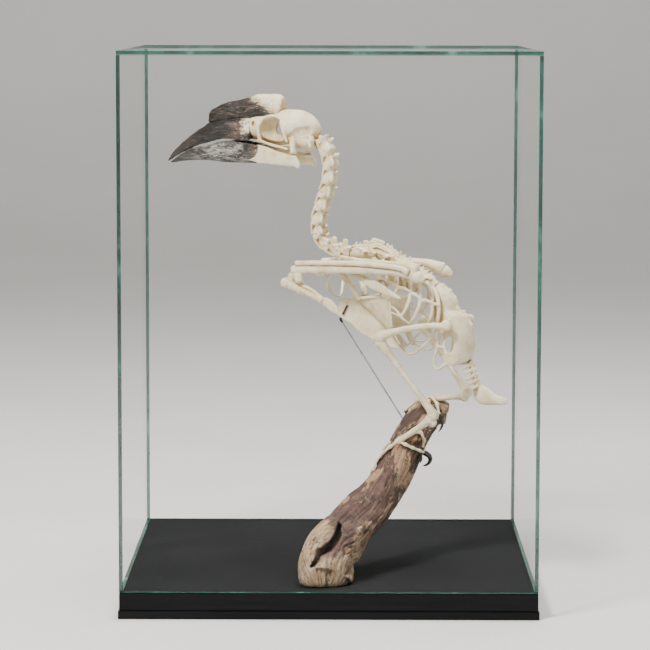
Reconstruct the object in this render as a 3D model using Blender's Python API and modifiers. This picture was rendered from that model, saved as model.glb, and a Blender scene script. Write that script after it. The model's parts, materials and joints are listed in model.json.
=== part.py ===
"""Hornbill skeleton on a driftwood perch, in a glass display case.

The case stands on z = 0 with its front towards -Y and the origin under its middle. Sizes are in
millimetres and become metres where a mesh is made. The bird is laid out in a frame of its own:
u runs forward along the body, v to the bird's left and z up from the underside of the case.
"""
import bpy
import bmesh
from math import cos, sin, pi, radians
from mathutils import Matrix, Vector

MM = 0.001
GAP = 0.3

# Case
CASE_SIDE = 350.0
CASE_HEIGHT = 470.0
BASE_HEIGHT = 22.0
BASE_FOOT_HEIGHT = 7.0
BASE_STEP = 1.0
GLASS = 3.0

# Place of the bird's frame in the case
BIRD_X = 30.0
BIRD_Y = 10.0
BIRD_TURN = radians(155.0)

# Skull
ORBIT = (84.8, 396.2)
ORBIT_RADIUS = 12.9
SEPTUM = 2.0

# Spine
VERTEBRA = 12.6
NECK_RADIUS = 5.4
SYNSACRUM_RADIUS = 4.0

# Thin bones
RIB = 1.15
KEEL_THICKNESS = 1.6
PLATE_THICKNESS = 1.5

# Perch: x, y, z of its middle line and its radius
PERCH = (
    (-3.3, -137.0, 22.3, 21.5),
    (-2.6, -123.0, 35.0, 22.0),
    (3.0, -109.0, 47.0, 22.0),
    (19.5, -86.0, 62.1, 19.6),
    (38.6, -59.0, 78.3, 17.6),
    (54.5, -34.0, 97.9, 16.4),
    (68.9, -12.0, 122.9, 15.4),
    (83.0, -3.0, 143.0, 13.8),
    (93.5, -3.0, 149.4, 12.0),
    (103.0, -4.5, 148.0, 8.4),
)

BIRD = Matrix.Translation((BIRD_X * MM, BIRD_Y * MM, 0.0)) @ Matrix.Rotation(BIRD_TURN, 4, "Z")
ROOM = Matrix.Identity(4)
ACROSS = Vector((0.0, 1.0, 0.0))
UPWARD = Vector((0.0, 0.0, 1.0))

MATERIALS = {}


def material(name, colour, roughness, metallic=0.0, alpha=1.0):
    """One Principled material for a kind of surface."""
    entry = bpy.data.materials.new(name)
    entry.use_nodes = True
    shader = entry.node_tree.nodes["Principled BSDF"]
    shader.inputs["Base Color"].default_value = (*colour, 1.0)
    shader.inputs["Roughness"].default_value = roughness
    shader.inputs["Metallic"].default_value = metallic
    shader.inputs["Alpha"].default_value = alpha
    MATERIALS[name] = entry


def make_materials():
    material("bone", (0.84, 0.78, 0.64), 0.55)
    material("beak", (0.09, 0.065, 0.055), 0.5)
    material("casque", (0.42, 0.33, 0.24), 0.55)
    material("claw", (0.02, 0.018, 0.016), 0.35)
    material("driftwood", (0.3, 0.19, 0.12), 0.8)
    material("glass", (0.85, 0.95, 0.9), 0.03, alpha=0.3)
    material("base_board", (0.018, 0.018, 0.02), 0.3)
    material("steel", (0.4, 0.4, 0.42), 0.35, metallic=1.0)
    material("clip", (0.02, 0.02, 0.02), 0.5)


def clear_scene():
    for thing in list(bpy.data.objects):
        bpy.data.objects.remove(thing)


def mesh_object(bm, frame=BIRD):
    """Object from a mesh in millimetres, set into the case by its frame."""
    bmesh.ops.recalc_face_normals(bm, faces=bm.faces)
    bmesh.ops.transform(bm, matrix=frame @ Matrix.Scale(MM, 4), verts=bm.verts)
    mesh = bpy.data.meshes.new("piece")
    bm.to_mesh(mesh)
    bm.free()
    return bpy.data.objects.new("piece", mesh)


def flow(stations, steps):
    """Smooth curve through stations of any number of values."""
    keys = [Vector(station) for station in stations]
    last = len(keys) - 1
    out = []
    for i in range(last):
        a, b, c, d = keys[max(i - 1, 0)], keys[i], keys[i + 1], keys[min(i + 2, last)]
        for k in range(steps):
            t = k / steps
            bend = (2 * a - 5 * b + 4 * c - d) * t * t + (3 * b - a - 3 * c + d) * t ** 3
            out.append(0.5 * (2 * b + (c - a) * t + bend))
    out.append(keys[-1])
    return out


def skin(rings, frame=BIRD):
    """Closed body over equal rings of points."""
    bm = bmesh.new()
    rows = [[bm.verts.new(point) for point in ring] for ring in rings]
    count = len(rings[0])
    for low, high in zip(rows, rows[1:]):
        for i in range(count):
            j = (i + 1) % count
            bm.faces.new((low[i], low[j], high[j], high[i]))
    bm.faces.new(rows[0])
    bm.faces.new(rows[-1][::-1])
    return mesh_object(bm, frame)


def oval_ring(centre, along, across, width, depth, sides):
    """Ellipse square to a direction, its width laid along the across direction."""
    wide = (across - across.dot(along) * along).normalized()
    deep = along.cross(wide)
    ring = []
    for i in range(sides):
        angle = 2 * pi * (i + 0.5) / sides
        ring.append(centre + wide * (width * cos(angle)) + deep * (depth * sin(angle)))
    return ring


def rod(stations, sides=8, steps=2, across=ACROSS, frame=BIRD, blunt=0.55):
    """Bone shaft: each station is x, y, z, half width and, where it is oval, half depth."""
    full = [(*s, s[3]) if len(s) == 4 else s for s in stations]
    line = flow(full, steps)
    points = [Vector(s[:3]) for s in line]
    rings = []
    for i, s in enumerate(line):
        along = (points[min(i + 1, len(points) - 1)] - points[max(i - 1, 0)]).normalized()
        rings.append(oval_ring(points[i], along, across, s[3], s[4], sides))
    for end, inner in ((0, 1), (-1, -2)) if blunt else ():
        out = (points[end] - points[inner]).normalized()
        reach = blunt * min(line[end][3], line[end][4])
        centre = points[end] + out * reach
        cap = [centre + (point - points[end]) * 0.6 for point in rings[end]]
        if end == 0:
            rings.insert(0, cap)
        else:
            rings.append(cap)
    return skin(rings, frame)


def profile(sections):
    """Stations of a body whose sections are given by top, bottom and half width along u."""
    return [(u, 0.0, (top + low) / 2, w, (top - low) / 2) for u, top, low, w in sections]


def ball(centre, radii, segments=8, rings=6, frame=BIRD):
    bm = bmesh.new()
    bmesh.ops.create_uvsphere(bm, u_segments=segments, v_segments=rings, radius=1.0)
    shape = Matrix.Translation(centre) @ Matrix.Diagonal((*radii, 1.0))
    bmesh.ops.transform(bm, matrix=shape, verts=bm.verts)
    return mesh_object(bm, frame)


def box(centre, sides):
    bm = bmesh.new()
    bmesh.ops.create_cube(bm, size=1.0)
    shape = Matrix.Translation(centre) @ Matrix.Diagonal((*sides, 1.0))
    bmesh.ops.transform(bm, matrix=shape, verts=bm.verts)
    return mesh_object(bm, ROOM)


def plate(outline, low, high):
    """Flat bone: an outline of u, z points, thick from v = low to v = high."""
    rings = [[Vector((u, v, z)) for u, z in outline] for v in (low, high)]
    return skin(rings)


def arch(u, crown, edge, width, hollow):
    """Bill section: a vault from its crown to both edges, closed by a hollow underside."""
    points = []
    for i in range(9):
        angle = pi * i / 8
        points.append(Vector((u, width * cos(angle), edge + (crown - edge) * sin(angle) ** 0.8)))
    for share in (-0.6, 0.0, 0.6):
        lift = hollow * (crown - edge) * (1.0 - abs(share))
        points.append(Vector((u, width * share, edge + lift)))
    return points


def vault(stations, steps, hollow):
    """Bill half: stations of u, crown, edge and half width."""
    return skin([arch(*s, hollow) for s in flow(stations, steps)])


def sheet(rows, thickness, dropped=()):
    """Curved plate: rows of points skinned to a surface and thickened; dropped cells stay open."""
    bm = bmesh.new()
    grid = [[bm.verts.new(point) for point in row] for row in rows]
    for i in range(len(grid) - 1):
        for j in range(len(grid[0]) - 1):
            if (i, j) not in dropped:
                bm.faces.new((grid[i][j], grid[i + 1][j], grid[i + 1][j + 1], grid[i][j + 1]))
    loose = [vert for vert in bm.verts if not vert.link_faces]
    bmesh.ops.delete(bm, geom=loose, context="VERTS")
    bmesh.ops.triangulate(bm, faces=bm.faces)
    bmesh.ops.recalc_face_normals(bm, faces=bm.faces)
    bmesh.ops.transform(bm, matrix=BIRD @ Matrix.Scale(MM, 4), verts=bm.verts)
    mesh = bpy.data.meshes.new("piece")
    bm.to_mesh(mesh)
    bm.free()
    piece = bpy.data.objects.new("piece", mesh)
    thicken = piece.modifiers.new("thickness", "SOLIDIFY")
    thicken.thickness = thickness * MM
    thicken.offset = 0.0
    bpy.context.scene.collection.objects.link(piece)
    bake(piece)
    bpy.context.scene.collection.objects.unlink(piece)
    return piece


def bake(thing):
    """Replaces an object's mesh by what its modifiers make of it."""
    graph = bpy.context.evaluated_depsgraph_get()
    mesh = bpy.data.meshes.new_from_object(thing.evaluated_get(graph))
    thing.modifiers.clear()
    thing.data = mesh


def combine(target, others, operation, solver="MANIFOLD"):
    """One Boolean of a node with a group of closed pieces, which are used up."""
    group = bpy.data.collections.new("pieces")
    bpy.context.scene.collection.children.link(group)
    for piece in others:
        group.objects.link(piece)
    modifier = target.modifiers.new("combine", "BOOLEAN")
    modifier.operation = operation
    modifier.operand_type = "COLLECTION"
    modifier.collection = group
    modifier.solver = solver
    bake(target)
    for piece in others:
        bpy.data.objects.remove(piece)
    bpy.data.collections.remove(group)


def keep_largest(thing):
    """Drops all but the closed surface with the most faces."""
    bm = bmesh.new()
    bm.from_mesh(thing.data)
    left = set(bm.verts)
    bodies = []
    while left:
        reach = [left.pop()]
        body = []
        while reach:
            vert = reach.pop()
            body.append(vert)
            for edge in vert.link_edges:
                other = edge.other_vert(vert)
                if other in left:
                    left.remove(other)
                    reach.append(other)
        bodies.append(body)
    bodies.sort(key=len)
    loose = [vert for body in bodies[:-1] for vert in body]
    bmesh.ops.delete(bm, geom=loose, context="VERTS")
    bmesh.ops.triangulate(bm, faces=bm.faces)
    bm.to_mesh(thing.data)
    bm.free()


def swollen(thing, margin=GAP):
    """Copy of a node, larger by the margin on every side."""
    bm = bmesh.new()
    bm.from_mesh(thing.data)
    bm.normal_update()
    moves = [vert.normal * (margin * MM * min(vert.calc_shell_factor(), 1.6)) for vert in bm.verts]
    for vert, move in zip(bm.verts, moves):
        vert.co += move
    mesh = bpy.data.meshes.new("cutter")
    bm.to_mesh(mesh)
    bm.free()
    return bpy.data.objects.new("cutter", mesh)


def node(name, pieces, finish, parts, cutters=(), later=()):
    """Joins pieces into one named body, cuts it, then adds what stands in the cuts."""
    body = pieces[0]
    body.name = name
    parts.objects.link(body)
    if len(pieces) > 1:
        combine(body, pieces[1:], "UNION")
    if cutters:
        combine(body, list(cutters), "DIFFERENCE")
    if later:
        combine(body, list(later), "UNION")
    keep_largest(body)
    body.data.name = name
    body.data.materials.clear()
    body.data.materials.append(MATERIALS[finish])
    return body


def clear_of(thing, *neighbours):
    """Trims a node so that it stays the gap away from its neighbours."""
    copies = [bpy.data.objects.new("cutter", neighbour.data.copy()) for neighbour in neighbours]
    combine(thing, [*(swollen(neighbour) for neighbour in neighbours), *copies], "DIFFERENCE")
    keep_largest(thing)


def sided(stations, side):
    """The same stations on the left (side 1) or the right (side -1)."""
    return [(s[0], s[1] * side, *s[2:]) for s in stations]


def forearm(stations, side):
    """Forearm stations of one side: the right wrist hangs a little lower than the left."""
    if side > 0:
        return sided(stations, side)
    length = WRIST_END - ELBOW_END
    return [(s[0], -s[1], s[2] - WRIST_DROP * max(0.0, s[0] - ELBOW_END) / length, *s[3:]) for s in stations]


def upper_arm(stations, side):
    """Upper arm stations of one side: the right elbow hangs a little lower than the left."""
    if side > 0:
        return sided(stations, side)
    length = SHOULDER_END - ELBOW_END
    return [(s[0], -s[1], s[2] - ELBOW_DROP * max(0.0, SHOULDER_END - s[0]) / length, *s[3:]) for s in stations]


def both(stations, **options):
    return [rod(sided(stations, side), **options) for side in (1, -1)]


# Case and perch


def make_case(parts):
    upper = CASE_SIDE - 2 * BASE_STEP
    board = box((0, 0, BASE_HEIGHT / 2), (upper, upper, BASE_HEIGHT))
    foot = box((0, 0, BASE_FOOT_HEIGHT / 2), (CASE_SIDE, CASE_SIDE, BASE_FOOT_HEIGHT))
    node("stand_base", [foot, board], "base_board", parts)
    low = BASE_HEIGHT + GAP
    high = CASE_HEIGHT - GLASS - GAP
    middle = (low + high) / 2
    edge = (upper - GLASS) / 2
    inner = upper - 2 * GLASS - 2 * GAP
    panes = {
        "stand_glass_front": ((0, -edge, middle), (upper, GLASS, high - low)),
        "stand_glass_back": ((0, edge, middle), (upper, GLASS, high - low)),
        "stand_glass_left": ((-edge, 0, middle), (GLASS, inner, high - low)),
        "stand_glass_right": ((edge, 0, middle), (GLASS, inner, high - low)),
        "stand_glass_top": ((0, 0, CASE_HEIGHT - GLASS / 2), (upper, upper, GLASS)),
    }
    for name, (centre, sides) in panes.items():
        node(name, [box(centre, sides)], "glass", parts)


def perch_rings(sides, steps):
    """Gnarled rings round the perch's middle line."""
    line = flow(PERCH, steps)
    rings = []
    for i, s in enumerate(line):
        before = Vector(line[max(i - 1, 0)][:3])
        after = Vector(line[min(i + 1, len(line) - 1)][:3])
        along = (after - before).normalized()
        ring = oval_ring(Vector(s[:3]), along, ACROSS, 1.0, 1.0, sides)
        shaped = []
        for k, point in enumerate(ring):
            angle = 2 * pi * k / sides
            bumps = 1 + 0.07 * sin(3 * angle + 0.7 * i) + 0.05 * sin(5 * angle - 1.3 * i)
            outward = point - Vector(s[:3])
            place = Vector(s[:3]) + outward * (s[3] * bumps)
            place.z = max(place.z, BASE_HEIGHT + GAP)
            shaped.append(place)
        rings.append(shaped)
    return rings


def make_perch(parts):
    floor = BASE_HEIGHT + GAP
    knot = rod(
        [(-9, -139, floor + 1, 14.5), (-12, -136, 38, 14.5), (-7, -129, 54, 13.5), (4, -118, 69, 9)],
        sides=10, frame=ROOM)
    heel = rod([(0, -133, floor - 2, 16.5), (2, -131, 38, 17), (8, -120, 54, 16)], sides=12, frame=ROOM)
    under = box((0, -130, floor - 25), (120, 120, 50))
    hollow = ball((-5, -149, 50), (8, 8, 7), frame=ROOM)
    branch = node("stand_branch", [skin(perch_rings(12, 2), ROOM), knot, heel], "driftwood", parts,
                  cutters=[under, hollow])
    return branch


def make_rod(parts, branch, sternum):
    """Thin support rod from the branch up to a clip, whose prongs hold the keel."""
    top = BIRD @ (Vector((23.2, 0.0, 229.9)) * MM) / MM
    foot = Vector((65.5, -5.0, 142.5))
    lean = (foot - top).normalized()
    prongs = [rod([(23.2, 0, 229.9, 1.0), (21.6, 1.9 * side, 232.0, 0.8), (15.5, 1.9 * side, 242.5, 0.7)],
                  sides=6, steps=1) for side in (1, -1)]
    socket = rod([(*top, 1.1), (*(top + lean * 3.0), 1.1)], sides=8, steps=1, frame=ROOM)
    clip = node("stand_clip", [socket, *prongs], "clip", parts)
    clear_of(clip, sternum)
    shaft = rod([(*(top + lean * 2.0), 0.75), (*foot, 0.75)], sides=8, steps=1, frame=ROOM)
    support = node("stand_rod", [shaft], "steel", parts)
    clear_of(support, clip, branch)


# Head

CRANIUM = (
    (44.0, 397.5, 388.0, 4.8),
    (47.5, 403.6, 384.5, 11.2),
    (53.5, 409.6, 382.0, 15.6),
    (62.0, 414.2, 381.5, 17.6),
    (72.0, 415.2, 383.5, 16.6),
    (82.0, 414.6, 385.5, 14.2),
    (92.0, 413.6, 386.5, 12.6),
    (101.0, 411.8, 387.0, 12.2),
    (107.0, 410.0, 388.0, 11.8),
)

UPPER_BILL = (
    (107.4, 410.5, 386.6, 13.0),
    (118.0, 409.4, 387.0, 12.8),
    (130.0, 407.8, 388.0, 12.0),
    (143.0, 405.5, 386.9, 10.4),
    (152.0, 402.8, 385.0, 9.0),
    (162.5, 396.1, 382.4, 7.2),
    (171.8, 390.2, 379.0, 5.5),
    (182.9, 381.9, 373.8, 3.5),
    (190.0, 375.7, 369.6, 2.1),
    (195.9, 367.6, 365.8, 0.7),
)

LOWER_BILL = (
    (98.0, 367.0, 383.4, 14.4),
    (107.0, 366.8, 384.8, 13.4),
    (118.0, 366.6, 386.0, 12.6),
    (128.0, 366.5, 387.1, 11.6),
    (138.0, 366.8, 386.1, 10.5),
    (148.0, 367.6, 383.9, 9.0),
    (159.0, 368.2, 381.2, 7.0),
    (170.0, 367.8, 378.0, 5.0),
    (181.0, 366.4, 373.7, 3.4),
    (189.0, 365.2, 369.1, 1.9),
    (193.0, 364.6, 366.6, 1.0),
)

CASQUE = (
    (153.6, 410.6, 401.5, 2.4),
    (151.0, 413.8, 401.5, 4.2),
    (144.0, 417.2, 402.5, 5.4),
    (134.8, 420.5, 404.0, 6.3),
    (122.8, 422.8, 405.5, 7.2),
    (112.6, 425.6, 406.5, 8.0),
    (106.2, 427.8, 407.0, 8.5),
    (97.8, 428.4, 408.0, 8.9),
    (88.6, 428.3, 409.0, 9.2),
    (82.5, 428.0, 411.0, 8.8),
    (79.2, 425.5, 415.0, 6.8),
)

JAW_BRANCH = (
    (56.2, 17.2, 365.2, 2.2, 1.2),
    (60.5, 16.6, 369.3, 4.8, 2.2),
    (68.0, 16.0, 370.8, 5.6, 1.9),
    (79.0, 15.2, 372.4, 6.4, 1.4),
    (91.0, 13.6, 374.6, 7.8, 1.3),
    (103.0, 11.4, 375.8, 8.4, 1.4),
    (112.0, 8.0, 375.0, 6.0, 2.4),
)


def make_skull(parts):
    cranium = rod(profile(CRANIUM), sides=14, steps=1, blunt=0.2)
    sockets = []
    for side in (1, -1):
        reach = 15.0
        middle = side * (reach + SEPTUM / 2)
        sockets.append(ball((ORBIT[0], middle, ORBIT[1]), (ORBIT_RADIUS, reach, ORBIT_RADIUS), 12, 7))
        sockets.append(ball((57.5, side * 20.0, 396.5), (8.5, 4.0, 5.0), 8, 5))
        sockets.append(ball((104.3, side * 12.5, 402.3), (1.8, 5.0, 2.7), 6, 5))
    window = rod([(83.0, -5.0, 397.5, 3.1, 4.9), (83.0, 5.0, 397.5, 3.1, 4.9)], steps=1,
                 across=Vector((1.0, 0.0, 0.0)))
    slot = rod([(77.8, -5.0, 393.0, 2.8, 1.9), (77.8, 5.0, 393.0, 2.8, 1.9)], steps=1,
               across=Vector((1.0, 0.0, 0.0)))
    later = []
    later += both([(70.5, 15.0, 402.0, 2.4), (70.8, 16.3, 395.0, 1.7), (68.4, 16.6, 390.2, 0.9)], sides=6, steps=1)
    later += both([(98.5, 11.6, 388.0, 1.5), (85.0, 13.8, 384.0, 1.1), (68.0, 15.3, 380.6, 1.2)], sides=6, steps=1)
    later += both([(66.5, 14.0, 390.0, 3.4), (65.6, 14.8, 384.5, 2.4), (62.8, 15.6, 378.3, 3.0)],
                  steps=1)
    later += both([(99.0, 11.5, 403.0, 2.2), (98.2, 12.4, 394.5, 1.6), (96.5, 12.0, 387.5, 1.8)], sides=6, steps=1)
    later += both([(103.0, 4.5, 386.5, 3.4, 1.5), (84.0, 5.0, 382.5, 2.4, 1.3), (67.0, 12.0, 382.0, 1.6)],
                  sides=6, steps=1)
    beam = [(104.0, 0, 389.0, 2.6), (80.0, 0, 385.5, 2.0), (58.0, 0, 382.5, 3.4)]
    later.append(rod(beam, sides=6, steps=1))
    later.append(ball((41.8, 0, 388.0), (2.6, 2.6, 2.4), 6, 4))
    return node("skull", [cranium], "bone", parts, cutters=[*sockets, window, slot], later=later)


def make_bill(parts, skull):
    upper = node("bill_upper", [vault(UPPER_BILL, 1, 0.12)], "beak", parts)
    clear_of(upper, skull)
    rear = (UPPER_BILL[0][0] - 5.0, *UPPER_BILL[0][1:])
    bed = [(u, crown + GAP, edge, wide + GAP) for u, crown, edge, wide in (rear, *UPPER_BILL)]
    casque = node("casque", [vault(CASQUE, 1, 0.0)], "casque", parts, cutters=[vault(bed, 1, 0.12)])
    clear_of(casque, skull)
    left = JAW_BRANCH
    middle = [(116.0, 0.0, 374.0, 4.0, 2.6)]
    right = [(s[0], -s[1], *s[2:]) for s in reversed(left)]
    bow = rod([*left, *middle, *right], sides=8, steps=1, across=UPWARD)
    joints = [ball((62.6, side * 15.6, 373.6), (4.4, 3.4, 2.2)) for side in (1, -1)]
    jaw = node("mandible", [bow, *joints], "bone", parts)
    clear_of(jaw, skull)
    lower = node("bill_lower", [vault(LOWER_BILL, 1, 0.35)], "beak", parts)
    clear_of(lower, jaw, upper)
    return upper, jaw, lower


# Spine

NECK_LINE = (
    (42.0, 0.0, 390.5),
    (36.5, 0.0, 379.5),
    (33.4, 0.0, 366.0),
    (35.2, 0.0, 350.0),
    (40.8, 0.0, 333.0),
    (44.8, 0.0, 317.0),
    (43.4, 0.0, 304.5),
    (35.5, 0.0, 295.0),
    (22.0, 0.0, 290.5),
    (8.0, 0.0, 289.2),
    (-8.0, 0.0, 290.0),
    (-20.0, 0.0, 288.0),
    (-33.0, 0.0, 283.5),
    (-46.0, 0.0, 277.8),
    (-58.0, 0.0, 271.0),
    (-69.0, 0.0, 263.0),
)


def spine_line(step=0.5):
    """Evenly spaced places down the whole spine."""
    dense = flow(NECK_LINE, 24)
    places = [dense[0]]
    for point in dense[1:]:
        while (point - places[-1]).length >= step:
            places.append(places[-1] + (point - places[-1]).normalized() * step)
    return places


def vertebra_frame(places, distance, step=0.5):
    index = min(max(int(round(distance / step)), 1), len(places) - 2)
    along = (places[index + 1] - places[index - 1]).normalized()
    return places[index], along, ACROSS.cross(along)


def neck_spine(index):
    """Height and half length of a vertebra's top spine: low in the neck, tall near the back."""
    if index >= 8:
        return 3.6, 4.4
    if index < 2:
        return 3.2, 2.6
    return (2.1, 2.2) if index % 2 else (1.3, 2.6)


def vertebrae(places, first, count, spine=neck_spine):
    """A run of vertebrae: a waisted column with its bars and spines."""
    begin = first * VERTEBRA
    stations = []
    for i in range(count * 2 + 1):
        centre, along, back = vertebra_frame(places, begin + i * VERTEBRA / 2)
        wide = NECK_RADIUS * (1.12 if i % 2 == 0 else 0.92) * (1.18 if first == 0 and i < 3 else 1.0)
        stations.append((*centre, wide, wide * 1.06))
    pieces = [rod(stations, sides=7, steps=1, blunt=0)]
    for i in range(count):
        middle = begin + (i + 0.5) * VERTEBRA
        for shift, reach, lift, thick in ((-0.26, 6.8, -1.2, 2.3), (0.34, 5.8, 3.6, 1.9)):
            centre, along, back = vertebra_frame(places, middle + shift * VERTEBRA)
            at = centre + back * lift
            ends = [(*(at + ACROSS * (reach * side)), thick * 0.8) for side in (1, -1)]
            pieces.append(rod([ends[0], (*at, thick), ends[1]], sides=4, steps=1, across=along, blunt=0))
        centre, along, back = vertebra_frame(places, middle)
        height, length = spine(first + i)
        tip = centre + back * (NECK_RADIUS + height) - along * 0.8
        pieces.append(rod([(*centre, length, 1.6), (*tip, length * 0.8, 1.0)], sides=4, steps=1, across=along,
                          blunt=0))
    return pieces


def make_neck(parts, skull):
    places = spine_line()
    upper = node("neck_upper", vertebrae(places, 0, 4), "bone", parts)
    clear_of(upper, skull)
    middle = node("neck_middle", vertebrae(places, 4, 3), "bone", parts)
    clear_of(middle, upper)
    lower = node("neck_lower", vertebrae(places, 7, 3), "bone", parts)
    clear_of(lower, middle)
    return lower


BACK_SPINES = (
    ((0.5, 289.0), (1.0, 301.0), (-6.2, 300.0), (-6.5, 289.0)),
    ((-7.6, 289.0), (-8.2, 303.8), (-18.6, 301.2), (-18.0, 288.0)),
    ((-20.4, 287.0), (-21.6, 299.4), (-29.6, 293.6), (-29.0, 284.0)),
    ((-31.4, 284.0), (-32.2, 292.2), (-42.6, 286.0), (-42.0, 279.0)),
    ((-44.0, 278.0), (-45.0, 285.0), (-55.0, 279.0), (-54.0, 272.0)),
    ((-56.5, 271.0), (-57.0, 277.6), (-66.5, 271.0), (-65.5, 265.0)),
)


LOW_RIDGE = (
    (9.0, 289.0), (8.0, 296.0), (-6.0, 297.6), (-18.0, 297.4), (-30.0, 291.4), (-43.0, 284.6), (-56.0, 277.6),
    (-66.0, 270.4), (-66.0, 264.5), (-43.0, 276.5), (-20.0, 286.0),
)


def make_back(parts, neck):
    """Thoracic vertebrae with their tall spines and the bars that carry the ribs."""
    column = [(u, 0.0, z, 4.8, 4.8) for u, _, z in NECK_LINE if u < 12.0]
    first = (11.0, 0.0, 289.3, 4.6, 4.6)
    pieces = [rod([first, *column], sides=8, steps=1, blunt=0.1)]
    pieces += [plate(outline, -1.0, 1.0) for outline in BACK_SPINES]
    pieces.append(plate(LOW_RIDGE, -1.4, 1.4))
    for outline in BACK_SPINES:
        u = (outline[0][0] + outline[3][0]) / 2
        z = (outline[0][1] + outline[3][1]) / 2 + 1.6
        bar = [(u, 8.4, z + 1.0, 2.2, 1.0), (u, 0.0, z, 3.4, 1.5), (u, -8.4, z + 1.0, 2.2, 1.0)]
        pieces.append(rod(bar, sides=6, steps=1, across=Vector((1.0, 0.0, 0.0)), blunt=0))
    back = node("back", pieces, "bone", parts)
    clear_of(back, neck)
    return back


# Rib cage

RIB_LINES = (
    ((-12.0, 6.0, 286.5), (-17.5, 11.5, 279.5), (-22.0, 16.5, 267.0), (-25.0, 19.5, 255.5)),
    ((-21.0, 6.0, 285.5), (-27.0, 13.0, 277.0), (-30.0, 19.0, 265.0), (-29.5, 21.0, 255.0)),
    ((-31.0, 6.0, 282.0), (-37.5, 14.0, 273.5), (-40.5, 20.0, 262.5), (-37.0, 22.0, 253.0)),
    ((-41.0, 6.0, 278.0), (-49.5, 13.5, 270.5), (-53.5, 20.0, 258.0), (-51.0, 22.5, 246.5), (-46.0, 22.5, 238.0)),
    ((-51.0, 6.0, 273.0), (-59.0, 14.0, 266.5), (-62.8, 20.5, 252.3), (-59.6, 22.5, 240.1), (-53.9, 22.5, 231.1)),
    ((-61.0, 6.0, 268.0), (-69.5, 13.5, 262.5), (-74.0, 19.5, 248.8), (-72.8, 21.0, 237.5), (-68.8, 21.2, 229.0)),
    ((-67.5, 7.5, 264.5), (-76.0, 15.0, 257.0), (-79.7, 18.8, 246.8), (-79.6, 20.0, 236.5), (-78.0, 20.6, 228.0)),
)

STERNAL_RIBS = (
    ((-35.0, 20.6, 252.0), (-37.0, 22.0, 253.2)),
    ((-35.3, 20.5, 246.0), (-40.0, 21.6, 243.5), (-45.8, 22.5, 238.4)),
    ((-35.5, 20.5, 240.5), (-44.6, 22.6, 237.9), (-53.8, 22.5, 231.4)),
    ((-40.0, 16.0, 213.0), (-50.0, 19.0, 212.0), (-59.0, 21.0, 220.2), (-68.6, 21.2, 229.2)),
    ((-42.0, 14.0, 211.0), (-48.0, 17.0, 206.0), (-56.0, 19.0, 205.5), (-65.0, 20.5, 212.2), (-75.0, 20.8, 222.0),
     (-77.8, 20.6, 228.2)),
)


def rib_cage(parts, side, back):
    pieces = []
    for line in RIB_LINES:
        count = len(line) - 1
        stations = []
        for i, (u, v, z) in enumerate(line):
            thick = RIB * (1.55 - 0.6 * i / count)
            stations.append((u, v * side, z, thick * 1.3, thick * 0.8))
        pieces.append(rod(stations, sides=4, steps=1, across=Vector((1.0, 0.0, 0.0)), blunt=0))
    for line in STERNAL_RIBS:
        stations = [(u, v * side, z, RIB * 0.85) for u, v, z in line]
        pieces.append(rod(stations, sides=4, steps=1, blunt=0))
    for fore, aft in zip(RIB_LINES, RIB_LINES[1:]):
        start = Vector(fore[2])
        end = Vector(aft[2]) + Vector((-1.0, 1.0, 1.5))
        stations = [(*start, 1.0, 1.8), (*((start + end) / 2 + Vector((0, 0.8, 1.5))), 0.9, 1.5), (*end, 0.7, 1.0)]
        pieces.append(rod(sided(stations, side), sides=4, steps=1, blunt=0))
    name = "ribs_left" if side > 0 else "ribs_right"
    cage = node(name, pieces, "bone", parts)
    clear_of(cage, back)
    return cage


def sternum_point(s, t):
    """Breastbone surface: s runs from its front to its rear, t from side to side."""
    edges = ((3.0, 7.0, 250.5), (-9.0, 11.5, 251.5), (-24.0, 17.5, 253.0), (-34.0, 19.3, 251.0), (-34.6, 19.3, 240.0),
             (-35.2, 19.0, 229.0), (-38.5, 17.0, 219.0), (-42.5, 14.5, 208.5))
    place = s * (len(edges) - 1)
    index = min(int(place), len(edges) - 2)
    edge = Vector(edges[index]).lerp(Vector(edges[index + 1]), place - index)
    floor = Vector((4.0 - 45.0 * s, 0.0, 247.5 - 39.0 * s))
    lift = abs(t) ** 1.8
    return Vector((floor.x + (edge.x - floor.x) * lift, edge.y * t, floor.z + (edge.z - floor.z) * lift))


KEEL = (
    (3.5, 248.6), (12.0, 250.0), (19.0, 249.6), (25.3, 246.0), (24.0, 238.0), (21.4, 231.2), (13.7, 227.4),
    (2.4, 218.6), (-12.6, 212.0), (-28.0, 207.2), (-40.0, 206.6), (-38.5, 210.6), (-20.0, 227.0), (-8.0, 238.0),
)


def make_sternum(parts, cages):
    across = 6
    along = 8
    rows = [[sternum_point(i / along, 2.0 * j / across - 1.0) for j in range(across + 1)] for i in range(along + 1)]
    notches = [(i, j) for i in (along - 1, along - 2) for j in (1, 4)]
    pieces = [plate(KEEL, -KEEL_THICKNESS / 2, KEEL_THICKNESS / 2), sheet(rows, PLATE_THICKNESS, notches)]
    pieces += both([(5.5, 2.5, 249.3, 1.6), (-3.0, 10.0, 251.0, 1.5), (-24.0, 18.0, 254.0, 1.2)], sides=6, steps=1)
    pieces += both([(-33.6, 19.0, 252.0, 1.2), (-34.6, 19.4, 240.0, 1.3), (-35.4, 19.0, 228.0, 1.2)], sides=6, steps=1)
    pieces.append(rod([(9.0, 0, 249.8, 1.6), (2.0, 0, 248.0, 2.4), (-6.0, 0, 241.5, 1.6)], sides=6))
    sternum = node("sternum", pieces, "bone", parts)
    clear_of(sternum, *cages)
    return sternum


# Shoulders and wings

CORACOID = (
    (12.0, 17.4, 272.0, 3.0, 3.8),
    (10.0, 16.0, 267.5, 2.8, 3.4),
    (6.6, 12.0, 260.0, 2.2, 2.6),
    (3.4, 8.4, 254.0, 2.6, 3.2),
    (1.4, 6.4, 250.8, 4.2, 3.0),
)

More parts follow.
